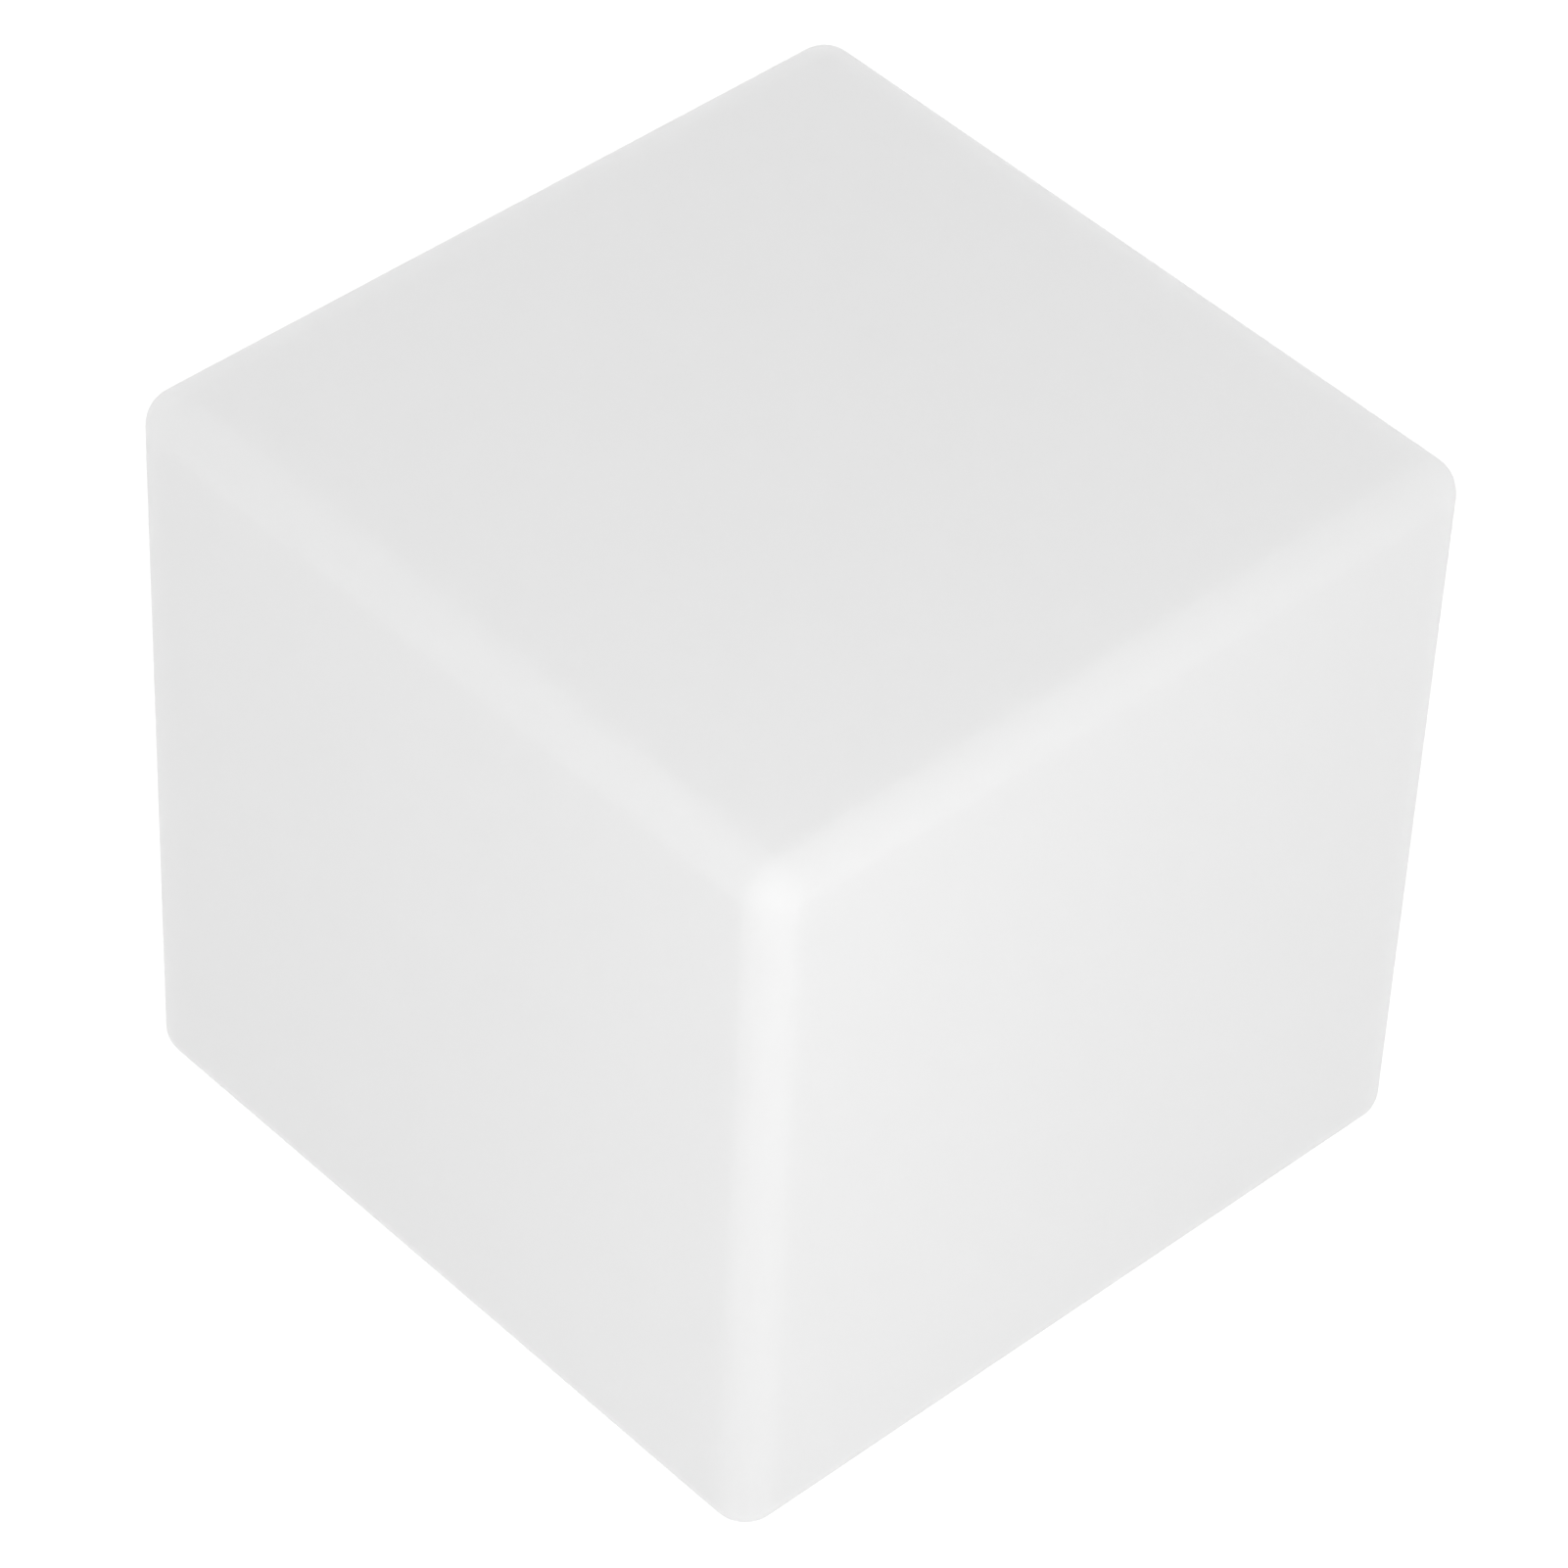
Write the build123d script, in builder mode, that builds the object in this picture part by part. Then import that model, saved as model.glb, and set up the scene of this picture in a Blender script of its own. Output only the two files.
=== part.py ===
"""Light-up garden cube, 30 cm class.

A one-piece rotationally moulded polyethylene shell stands on four soft pads. A round
light unit is screwed up into a well in the shell's underside: a flanged ABS housing
that carries the push button, the charging socket and its silicone cap, the control
board, a two-cell battery in a cradle and, on top, a board of LEDs under a clear dome.

Frame: millimetres, +Z up, origin on the floor under the middle of the cube. The
charging socket lies towards +X and the push button towards -X.
"""

import os
from math import copysign, cos, pi, sin, sqrt, tan

from build123d import *

# ---------------------------------------------------------------- driving dimensions

# Shell
cube_width = 300.0  # outside, both ways
cube_height = 290.0  # shell alone, without its pads
shell_wall = 3.5
upright_edge_radius = 13.0
top_edge_radius = 13.0
bottom_edge_radius = 10.0

# Well in the underside, with the hole that the light unit goes up through
well_depth = 12.0
well_gap = 2.0  # round the light unit's flange
well_mouth_radius = 4.0
well_root_radius = 2.0
unit_hole_gap = 2.0  # round the light unit's cup

# Brass inserts in bosses on the well's roof
insert_count = 6
insert_inset = 7.0  # screw axes from the flange's rim
insert_diameter = 7.0
insert_length = 9.0
insert_waist_depth = 0.6
insert_waist_height = 2.4
insert_gap = 0.05  # between insert and pocket, on the radius
insert_headroom = 0.6  # empty pocket above the insert
boss_wall = 3.0  # around and above the insert's pocket

# Foot pads
pad_diameter = 22.0
pad_proud = 2.0  # below the shell
pad_pocket_depth = 1.2
pad_pocket_gap = 0.3
pad_inset = 38.0  # pad axes from the cube's sides
pad_edge_radius = 1.0

# Housing of the light unit
cup_diameter = 112.0
cup_wall = 2.5
flange_reach = 18.0  # beyond the cup
flange_thickness = 4.0
flange_edge_radius = 1.5
panel_length = 88.0  # sunk control panel in the flange's lower face
panel_width = 32.0
panel_corner_radius = 8.0
panel_depth = 1.6

# Seal between flange and shell
seal_gap = 0.8  # flange to shell when the screws are tight
seal_inset = 1.2  # from the hole in the shell
seal_width = 2.8
seal_groove_depth = 1.2
seal_groove_gap = 0.1

# Screws: shank diameter, shank length, head diameter, head height, drive slot width
m4_screw = (4.0, 11.0, 8.0, 2.4, 1.1)
m3_screw = (2.9, 7.0, 5.4, 1.9, 0.8)
m4_hole_diameter = 4.6
m4_counterbore_diameter = 9.0
insert_thread_gap = 0.1  # insert bore to screw shank, on the radius
m3_hole_diameter = 3.3
m3_pilot_gap = 0.05  # pilot hole to screw shank, on the radius
screw_tip_room = 1.0  # pilot hole beyond the screw's end
shank_point = 0.5
head_bevel = 0.6
drive_depth = 0.55  # share of the head's height
drive_span = 0.6  # share of the head's diameter

# Control board
board_length = 80.0
board_width = 44.0
board_corner_radius = 3.0
board_thickness = 1.6
board_stand_off = 11.0  # housing floor to board
board_screw_pitch_x = 72.0
board_screw_pitch_y = 36.0
board_post_diameter = 6.4

# Push button
button_x = -22.0
button_diameter = 14.0
button_travel = 1.2
button_rise = 1.2  # below the panel's face
button_gap = 0.3
button_collar_diameter = 17.2
button_collar_thickness = 1.4
button_stem_diameter = 4.6
button_stem_height = 1.6
button_edge_radius = 0.8
button_dish_depth = 0.4
button_dish_diameter = 11.0
guide_wall = 1.5
guide_height = 4.2
ring_section = 1.1  # O-ring in the button's groove
ring_groove_depth = 0.9
ring_wall_gap = 0.1

# Push switch on the board, over the button
switch_size = 8.0
switch_height = 5.0
switch_bevel = 0.6
plunger_diameter = 3.2
plunger_inside = 1.8  # length inside the switch at rest
plunger_gap = 0.2
plunger_end_room = 0.3

# Return spring
spring_wire = 0.5
spring_diameter = 6.8  # wire centre to wire centre
spring_turns = 4
spring_end_gap = 0.05

# Charging socket: takes a round plug 5.5 mm outside and 2.1 mm inside
socket_x = 22.0
socket_bore_diameter = 6.3
socket_bore_depth = 9.5
socket_nose_diameter = 8.0
socket_nose_below_floor = 0.5
socket_block_length = 12.0
socket_block_width = 11.0
socket_pin_diameter = 2.1
socket_pin_set_back = 1.5
socket_pin_tip_radius = 0.5
socket_seal_thickness = 1.0
socket_seal_diameter = 10.8
port_gap = 0.2

# Silicone cap of the charging socket
cap_diameter = 13.0
cap_thickness = 2.0
cap_stub_gap = 0.4
cap_stub_below_nose = 0.3
cap_stub_lead = 0.4
cap_gap = 0.3  # closed cap to panel
cap_edge_radius = 0.6
cap_hinge_offset = 12.0  # socket axis to hinge
strap_width = 6.0
strap_thickness = 1.2
cap_tab_length = 3.0
anchor_length = 4.4
anchor_gap = 0.3
anchor_bevel = 1.0
anchor_peg_diameter = 3.0
anchor_peg_gap = 0.1
anchor_barb_diameter = 4.4
anchor_barb_height = 1.4

# Charge indicator
light_pipe_diameter = 3.0
light_pipe_gap = 0.1
light_pipe_collar_diameter = 4.8
light_pipe_collar_height = 1.0
light_pipe_proud = 0.4
indicator_led_diameter = 3.0
indicator_led_height = 4.4
indicator_led_rim = 0.4
indicator_led_nose_radius = 1.4
light_pipe_end_gap = 0.4

# Battery cradle and cells
cell_diameter = 18.4
cell_length = 65.0
cell_nub_diameter = 5.6
cell_nub_height = 1.0
cell_edge_bevel = 0.6
cell_pitch = 19.2
cell_gap = 0.25
cradle_length = 80.0
cradle_width = 66.0
cradle_corner_radius = 4.0
cradle_floor = 2.0
cradle_over_board = 5.4  # room for the parts on the board
cradle_trough_length = 58.0
cradle_trough_height = 5.0
cradle_screw_inset_x = 4.0  # screw axes from the cradle's ends and sides
cradle_screw_inset_y = 5.0
cradle_post_diameter = 7.5
cradle_end_wall = 1.6
cradle_end_height = 15.0
contact_room = 2.2
contact_width = 8.0
contact_thickness = 0.4
contact_bow_gap = 0.1
contact_bend_radius = 0.4
contact_bow_height = 6.6  # from the cell's axis to where the strip meets the wall
contact_fold_height = 1.4  # straight part below the fold
contact_tab_height = 5.0  # outside the end wall
lead_notch_width = 26.0
clamp_wall = 1.6
clamp_length = 12.0
clamp_foot_length = 8.0
clamp_boss_diameter = 7.2
clamp_cell_gap = 0.2
clamp_screw_pitch = 49.0

# LED board and dome
led_board_gap = 1.5  # round the board, to the cup
led_board_thickness = 1.6
led_board_over_cells = 6.0
led_board_screw_inset = 5.5
led_board_screw_count = 3
led_board_first_screw = 0.5  # of a turn from +X, away from the socket's cap
led_post_diameter = 7.0
led_post_web = 2.0
led_ring_counts = (12, 8, 4)
led_ring_diameters = (72.0, 44.0, 19.0)
led_ring_start = 15.0
led_size = 5.0
led_height = 1.6
receiver_length = 7.0
receiver_width = 5.6
receiver_height = 3.0
receiver_lens_radius = 2.0
cup_above_led_board = 3.0
dome_seal_thickness = 0.8
dome_seal_margin = 0.2
dome_flange_thickness = 2.2
dome_rim = 5.0  # flat round the dome's foot
dome_rise = 18.0
dome_wall = 2.0
dome_spigot_depth = 2.6
dome_spigot_wall = 2.0
dome_spigot_gap = 0.3
hook_count = 4
hook_width = 6.0
hook_height = 1.4
hook_reach = 1.7
hook_window_gap = 0.4

# Parts on the control board: x, y, length, width, height
board_chips = (
    (-14.0, 5.0, 7.0, 7.0, 1.2),
    (-30.0, -9.0, 5.0, 4.0, 1.2),
    (2.0, -14.0, 4.0, 5.0, 1.2),
    (9.0, -14.0, 4.0, 5.0, 1.2),
)
inductor_place = (-4.0, -12.0)
inductor_size = 6.0
inductor_height = 3.2
inductor_corner = 1.2
capacitor_places = ((-26.0, 12.0), (28.0, 13.0))
capacitor_diameter = 5.0
capacitor_height = 4.4
capacitor_edge = 0.5

# Plugs and headers, leads
plug_width = 6.4
plug_length = 6.0
plug_height = 3.0
plug_stands_out = 1.5
plug_gap = 0.1
header_wall = 0.8
battery_header_place = (22.0, 0.0)
ribbon_x = 5.0
ribbon_header_y = 20.0
led_header_y = 24.0
lead_diameter = 1.3
lead_pitch = 2.0
lead_solder_gap = 0.05
lead_way = (  # shares of the way inward, sideways and down, from contact to plug
    (0.0, 0.0, 0.0),
    (-0.06, 0.01, 0.42),
    (-0.07, 0.1, 0.86),
    (0.33, 0.64, 1.0),
    (0.66, 1.0, 1.0),
    (1.0, 1.0, 1.0),
)
ribbon_out = (3.5, 7.0, 5.0)  # beyond the cradle's edge, at the low, middle and high bends
ribbon_width = 5.4
ribbon_thickness = 1.3
bend_share = 0.45  # of the shorter run beside a bend

# -------------------------------------------------------- derived diameters and levels

flange_diameter = cup_diameter + 2 * flange_reach
well_diameter = flange_diameter + 2 * well_gap
unit_hole_diameter = cup_diameter + 2 * unit_hole_gap
insert_circle_diameter = flange_diameter - 2 * insert_inset
pad_spacing = cube_width - 2 * pad_inset
seal_inner_diameter = unit_hole_diameter + 2 * seal_inset
cup_inner_diameter = cup_diameter - 2 * cup_wall
led_board_diameter = cup_inner_diameter - 2 * led_board_gap
led_board_screw_circle_diameter = led_board_diameter - 2 * led_board_screw_inset
dome_foot_diameter = cup_diameter - 2 * dome_rim
cradle_screw_pitch_x = cradle_length - 2 * cradle_screw_inset_x
cradle_screw_pitch_y = cradle_width - 2 * cradle_screw_inset_y

shell_base_z = pad_proud
shell_top_z = shell_base_z + cube_height
well_roof_z = shell_base_z + well_depth
flange_top_z = well_roof_z - seal_gap  # also the floor inside the cup
flange_face_z = flange_top_z - flange_thickness
panel_z = flange_face_z + panel_depth
board_z = flange_top_z + board_stand_off
board_top_z = board_z + board_thickness
cradle_z = board_top_z + cradle_over_board
cell_floor_z = cradle_z + cradle_floor
cell_axis_z = cell_floor_z + cell_gap + cell_diameter / 2
cell_top_z = cell_axis_z + cell_diameter / 2
led_board_z = cell_top_z + led_board_over_cells
led_board_top_z = led_board_z + led_board_thickness
cup_top_z = led_board_top_z + cup_above_led_board
dome_seat_z = cup_top_z + dome_seal_thickness


def rectangle_of(pitch_x, pitch_y):
    """The four corners of a hole pattern centred on the origin."""
    return [(x * pitch_x / 2, y * pitch_y / 2) for x in (-1, 1) for y in (-1, 1)]


def ring_of(count, diameter, first=0.0):
    """Evenly spaced points on a circle, the first a share of a turn from the X axis."""
    angles = [2 * pi * (first + n / count) for n in range(count)]
    return [(diameter / 2 * cos(a), diameter / 2 * sin(a)) for a in angles]


insert_places = ring_of(insert_count, insert_circle_diameter)
board_screw_places = rectangle_of(board_screw_pitch_x, board_screw_pitch_y)
cradle_screw_places = rectangle_of(cradle_screw_pitch_x, cradle_screw_pitch_y)
led_board_screw_places = ring_of(
    led_board_screw_count, led_board_screw_circle_diameter, led_board_first_screw
)
clamp_screw_places = [(0, -clamp_screw_pitch / 2), (0, clamp_screw_pitch / 2)]


def write(piece, name):
    """Labels a finished piece and writes it under its node's name."""
    piece.part.label = name
    export_step(piece.part, f"parts/{name}.step")


os.makedirs("parts", exist_ok=True)

# ------------------------------------------------------------------------ the shell

insert_pocket_diameter = insert_diameter + 2 * insert_gap
insert_pocket_depth = insert_length + insert_headroom
boss_diameter = insert_pocket_diameter + 2 * boss_wall
boss_top_z = well_roof_z + insert_pocket_depth + boss_wall
pad_pocket_diameter = pad_diameter + 2 * pad_pocket_gap
pad_places = rectangle_of(pad_spacing, pad_spacing)


def moulded_form(inset):
    """The cube's skin, well and pad pockets included, taken into the plastic by inset."""
    base_z = shell_base_z + inset
    with BuildPart() as form:
        with BuildSketch(Plane.XY.offset(base_z)):
            Rectangle(cube_width - 2 * inset, cube_width - 2 * inset)
        extrude(amount=cube_height - 2 * inset)
        fillet(form.edges().filter_by(Axis.Z), upright_edge_radius - inset)
        fillet(form.faces().sort_by(Axis.Z)[-1].edges(), top_edge_radius - inset)
        fillet(form.faces().sort_by(Axis.Z)[0].edges(), bottom_edge_radius - inset)
        with BuildSketch(Plane.XY.offset(base_z)):
            Circle(well_diameter / 2 + inset)
        extrude(amount=well_depth, mode=Mode.SUBTRACT)
        underside, well_roof = form.faces().filter_by(Plane.XY).sort_by(Axis.Z)[:2]
        fillet(well_roof.edges(), well_root_radius + inset)
        fillet(underside.inner_wires().edges(), well_mouth_radius - inset)
        with BuildSketch(Plane.XY.offset(base_z)):
            with Locations(*pad_places):
                Circle(pad_pocket_diameter / 2 + inset)
        extrude(amount=pad_pocket_depth, mode=Mode.SUBTRACT)
    return form.part


# Plastic builds up evenly on the heated mould, so the cavity follows the skin.
with BuildPart() as cube_shell:
    add(moulded_form(0))
    add(moulded_form(shell_wall), mode=Mode.SUBTRACT)
    with BuildSketch(Plane.XY.offset(well_roof_z)):
        Circle(unit_hole_diameter / 2)
    extrude(amount=shell_wall, mode=Mode.SUBTRACT)
    with BuildSketch(Plane.XY.offset(well_roof_z + shell_wall)):
        with Locations(*insert_places):
            Circle(boss_diameter / 2)
    extrude(amount=boss_top_z - well_roof_z - shell_wall)
    with BuildSketch(Plane.XY.offset(well_roof_z)):
        with Locations(*insert_places):
            Circle(insert_pocket_diameter / 2)
    extrude(amount=insert_pocket_depth, mode=Mode.SUBTRACT)
write(cube_shell, "cube_shell")

with BuildPart() as thread_inserts:
    with BuildSketch(Plane.XY.offset(well_roof_z)):
        with Locations(*insert_places):
            Circle(insert_diameter / 2)
            Circle(m4_screw[0] / 2 + insert_thread_gap, mode=Mode.SUBTRACT)
    extrude(amount=insert_length)
    with BuildSketch(Plane.XY.offset(well_roof_z + (insert_length - insert_waist_height) / 2)):
        with Locations(*insert_places):
            Circle(insert_diameter / 2)
            Circle(insert_diameter / 2 - insert_waist_depth, mode=Mode.SUBTRACT)
    extrude(amount=insert_waist_height, mode=Mode.SUBTRACT)
write(thread_inserts, "thread_inserts")

with BuildPart() as foot_pads:
    with BuildSketch():
        with Locations(*pad_places):
            Circle(pad_diameter / 2)
    extrude(amount=pad_proud + pad_pocket_depth)
    fillet(foot_pads.edges().group_by(Axis.Z)[0], pad_edge_radius)
write(foot_pads, "foot_pads")

# --------------------------------------------------- the light unit's flanged housing

port_hole_diameter = socket_nose_diameter + 2 * port_gap
hinge_x = socket_x + cap_hinge_offset
anchor_x = hinge_x + strap_thickness / 2 + anchor_gap + anchor_length / 2
hook_z = cup_top_z - dome_spigot_depth
led_post_radius = led_board_screw_circle_diameter / 2
led_web_reach = cup_inner_diameter / 2 - led_post_radius
seal_inner_radius = seal_inner_diameter / 2

with BuildPart() as unit_housing:
    with BuildSketch(Plane.XY.offset(flange_face_z)):
        Circle(flange_diameter / 2)
    extrude(amount=flange_thickness)
    fillet(unit_housing.edges().sort_by(Axis.Z)[0], flange_edge_radius)
    with BuildSketch(Plane.XY.offset(flange_top_z)):
        Circle(cup_diameter / 2)
        Circle(cup_inner_diameter / 2, mode=Mode.SUBTRACT)
    extrude(amount=cup_top_z - flange_top_z)
    # Sunk panel, with the holes for button, plug, cap peg and light pipe
    with BuildSketch(Plane.XY.offset(flange_face_z)):
        RectangleRounded(panel_length, panel_width, panel_corner_radius)
    extrude(amount=panel_depth, mode=Mode.SUBTRACT)
    with BuildSketch(Plane.XY.offset(panel_z)):
        with Locations((button_x, 0)):
            Circle(button_diameter / 2 + button_gap)
        with Locations((socket_x, 0)):
            Circle(port_hole_diameter / 2)
        with Locations((anchor_x, 0)):
            Circle(anchor_peg_diameter / 2 + anchor_peg_gap)
        Circle(light_pipe_diameter / 2 + light_pipe_gap)
    extrude(amount=flange_top_z - panel_z, mode=Mode.SUBTRACT)
    # Collar that guides the button
    with BuildSketch(Plane.XY.offset(flange_top_z)):
        with Locations((button_x, 0)):
            Circle(button_collar_diameter / 2 + button_gap + guide_wall)
            Circle(button_collar_diameter / 2 + button_gap, mode=Mode.SUBTRACT)
    extrude(amount=guide_height)
    # Posts for the control board, the cradle and the LED board, with their pilot holes
    with BuildSketch(Plane.XY.offset(flange_top_z)):
        with Locations(*board_screw_places):
            Circle(board_post_diameter / 2)
    extrude(amount=board_z - flange_top_z)
    with BuildSketch(Plane.XY.offset(flange_top_z)):
        with Locations(*cradle_screw_places):
            Circle(cradle_post_diameter / 2)
    extrude(amount=cradle_z - flange_top_z)
    with BuildSketch(Plane.XY.offset(flange_top_z)):
        with Locations(*led_board_screw_places):
            Circle(led_post_diameter / 2)
        with PolarLocations(
            led_post_radius + led_web_reach / 2,
            led_board_screw_count,
            start_angle=360 * led_board_first_screw,
        ):
            Rectangle(led_web_reach + cup_wall, led_post_web)
    extrude(amount=led_board_z - flange_top_z)
    pilot_radius = m3_screw[0] / 2 + m3_pilot_gap
    for places, top_z, clamped in (
        (board_screw_places, board_z, board_thickness),
        (cradle_screw_places, cradle_z, cradle_floor),
        (led_board_screw_places, led_board_z, led_board_thickness),
    ):
        with BuildSketch(Plane.XY.offset(top_z)):
            with Locations(*places):
                Circle(pilot_radius)
        extrude(amount=-(m3_screw[1] - clamped + screw_tip_room), mode=Mode.SUBTRACT)
    # Groove for the seal, screw holes sunk from below, and windows for the dome's hooks
    with BuildSketch(Plane.XY.offset(flange_top_z)):
        Circle(seal_inner_radius + seal_width + seal_groove_gap)
        Circle(seal_inner_radius - seal_groove_gap, mode=Mode.SUBTRACT)
    extrude(amount=-seal_groove_depth, mode=Mode.SUBTRACT)
    with Locations(Plane((0, 0, flange_face_z), x_dir=(1, 0, 0), z_dir=(0, 0, -1))):
        with PolarLocations(insert_circle_diameter / 2, insert_count):
            CounterBoreHole(
                m4_hole_diameter / 2, m4_counterbore_diameter / 2, m4_screw[3], flange_thickness
            )
    with BuildSketch(Plane.XY.offset(hook_z - hook_window_gap)):
        with PolarLocations((cup_diameter - cup_wall) / 2, hook_count, start_angle=180 / hook_count):
            Rectangle(2 * cup_wall, hook_width + 2 * hook_window_gap)
    extrude(amount=hook_height + hook_window_gap, mode=Mode.SUBTRACT)
write(unit_housing, "unit_housing")

with BuildPart() as flange_seal:
    with BuildSketch(Plane.XY.offset(flange_top_z - seal_groove_depth)):
        Circle(seal_inner_radius + seal_width)
        Circle(seal_inner_radius, mode=Mode.SUBTRACT)
    extrude(amount=seal_groove_depth + seal_gap)
write(flange_seal, "flange_seal")


def pan_head_screws(seat, places, screw):
    """Cross-slotted screws whose heads sit on a plane, with shanks along its normal."""
    shank_diameter, shank_length, head_diameter, head_height, slot_width = screw
    with BuildPart() as screws:
        with BuildSketch(seat):
            with Locations(*places):
                Circle(shank_diameter / 2)
        extrude(amount=shank_length)
        tips = screws.faces().filter_by(Plane.XY).sort_by(Axis(seat.origin, seat.z_dir))
        chamfer(tips[-len(places) :].edges(), shank_point)
        with BuildSketch(seat):
            with Locations(*places):
                Circle(head_diameter / 2)
        extrude(amount=-head_height)
        crowns = screws.faces().filter_by(Plane.XY).sort_by(Axis(seat.origin, seat.z_dir))
        chamfer(crowns[: len(places)].edges(), head_bevel)
        with BuildSketch(seat.offset(-head_height)):
            with Locations(*places):
                Rectangle(head_diameter * drive_span, slot_width)
                Rectangle(slot_width, head_diameter * drive_span)
        extrude(amount=head_height * drive_depth, mode=Mode.SUBTRACT)
    return screws


def driven_down(z):
    """Seat plane for screws put in from above."""
    return Plane((0, 0, z), x_dir=(1, 0, 0), z_dir=(0, 0, -1))


flange_screws = pan_head_screws(Plane.XY.offset(flange_face_z + m4_screw[3]), insert_places, m4_screw)
write(flange_screws, "flange_screws")

# ------------------------------------------------------------- button, switch, spring

button_axis = Axis((button_x, 0, 0), (0, 0, 1))
button_half_plane = Plane((button_x, 0, 0), x_dir=(1, 0, 0), z_dir=(0, -1, 0))
button_radius = button_diameter / 2
button_face_z = panel_z - button_rise
button_collar_top_z = flange_top_z + button_collar_thickness
stem_top_z = button_collar_top_z + button_stem_height
switch_face_z = board_z - switch_height
ring_low_z = panel_z + ring_wall_gap
ring_high_z = ring_low_z + ring_section
groove_radius = button_radius - ring_groove_depth
dish_radius = ((button_dish_diameter / 2) ** 2 + button_dish_depth**2) / (2 * button_dish_depth)

with BuildPart() as power_button:
    with BuildSketch(button_half_plane):
        with BuildLine():
            Polyline(
                (0, button_face_z),
                (button_radius - button_edge_radius, button_face_z),
                (button_radius, button_face_z + button_edge_radius),
                (button_radius, ring_low_z),
                (groove_radius, ring_low_z),
                (groove_radius, ring_high_z),
                (button_radius, ring_high_z),
                (button_radius, flange_top_z),
                (button_collar_diameter / 2, flange_top_z),
                (button_collar_diameter / 2, button_collar_top_z),
                (button_stem_diameter / 2, button_collar_top_z),
                (button_stem_diameter / 2, stem_top_z),
                (0, stem_top_z),
                close=True,
            )
        make_face()
    revolve(axis=button_axis)
    with Locations((button_x, 0, button_face_z + button_dish_depth - dish_radius)):
        Sphere(dish_radius, mode=Mode.SUBTRACT)
write(power_button, "power_button")

with BuildPart() as button_ring:
    with BuildSketch(button_half_plane):
        with Locations((groove_radius + ring_section / 2, (ring_low_z + ring_high_z) / 2)):
            Circle(ring_section / 2)
    revolve(axis=button_axis)
write(button_ring, "button_ring")

with BuildPart() as switch_plunger:
    with BuildSketch(Plane.XY.offset(stem_top_z)):
        with Locations((button_x, 0)):
            Circle(plunger_diameter / 2)
    extrude(amount=switch_face_z + plunger_inside - stem_top_z)
write(switch_plunger, "switch_plunger")

with BuildPart() as switch_body:
    with BuildSketch(Plane.XY.offset(switch_face_z)):
        with Locations((button_x, 0)):
            Rectangle(switch_size, switch_size)
    extrude(amount=switch_height)
    chamfer(switch_body.edges().filter_by(Axis.Z), switch_bevel)
    with BuildSketch(Plane.XY.offset(switch_face_z)):
        with Locations((button_x, 0)):
            Circle(plunger_diameter / 2 + plunger_gap)
    extrude(amount=plunger_inside + button_travel + plunger_end_room, mode=Mode.SUBTRACT)
write(switch_body, "switch_body")

spring_room = switch_face_z - button_collar_top_z
spring_rise = spring_room - spring_wire - 2 * spring_end_gap
spring_start_z = button_collar_top_z + spring_wire / 2 + spring_end_gap
spring_radius = spring_diameter / 2


def spring_point(turns):
    """Point on the spring's line, and the line's direction there."""
    angle = 2 * pi * turns
    rise = spring_rise / spring_turns
    place = Vector(cos(angle), sin(angle)) * spring_radius + Vector(0, 0, rise * turns)
    along = Vector(-sin(angle), cos(angle), rise / (2 * pi * spring_radius))
    return place + Vector(button_x, 0, spring_start_z), along.normalized()


# Each quarter turn is two arcs that run smoothly into each other and the next quarter.
with BuildPart() as button_spring:
    with BuildLine() as coil:
        for quarter in range(4 * spring_turns):
            start, leaving = spring_point(quarter / 4)
            end, arriving = spring_point((quarter + 1) / 4)
            chord = end - start
            spread = 2 * (1 - leaving.dot(arriving))
            along = chord.dot(leaving + arriving)
            reach = (sqrt(along**2 + spread * chord.dot(chord)) - along) / spread
            first_corner = start + leaving * reach
            last_corner = end - arriving * reach
            middle = (first_corner + last_corner) / 2
            TangentArc(start, middle, tangent=leaving)
            TangentArc(middle, end, tangent=last_corner - first_corner)
    with BuildSketch(Plane(spring_point(0)[0], z_dir=spring_point(0)[1])):
        Circle(spring_wire / 2)
    sweep()
write(button_spring, "button_spring")

# ------------------------------------------------------ charging socket and its cap

socket_nose_z = flange_top_z - socket_nose_below_floor
socket_block_z = flange_top_z + socket_seal_thickness
socket_bore_top_z = socket_nose_z + socket_bore_depth

with BuildPart() as charge_socket:
    with BuildSketch(Plane.XY.offset(socket_block_z)):
        with Locations((socket_x, 0)):
            Rectangle(socket_block_length, socket_block_width)
    extrude(amount=board_z - socket_block_z)
    chamfer(charge_socket.edges().filter_by(Axis.Z), switch_bevel)
    with BuildSketch(Plane.XY.offset(socket_nose_z)):
        with Locations((socket_x, 0)):
            Circle(socket_nose_diameter / 2)
    extrude(amount=socket_block_z - socket_nose_z)
    with BuildSketch(Plane.XY.offset(socket_nose_z)):
        with Locations((socket_x, 0)):
            Circle(socket_bore_diameter / 2)
    extrude(amount=socket_bore_depth, mode=Mode.SUBTRACT)
write(charge_socket, "charge_socket")

with BuildPart() as socket_pin:
    with BuildSketch(Plane.XY.offset(socket_nose_z + socket_pin_set_back)):
        with Locations((socket_x, 0)):
            Circle(socket_pin_diameter / 2)
    extrude(amount=socket_bore_depth - socket_pin_set_back)
    fillet(socket_pin.edges().sort_by(Axis.Z)[0], socket_pin_tip_radius)
write(socket_pin, "socket_pin")

with BuildPart() as socket_seal:
    with BuildSketch(Plane.XY.offset(flange_top_z)):
        with Locations((socket_x, 0)):
            Circle(socket_seal_diameter / 2)
            Circle(socket_nose_diameter / 2, mode=Mode.SUBTRACT)
    extrude(amount=socket_seal_thickness)
write(socket_seal, "socket_seal")

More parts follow.
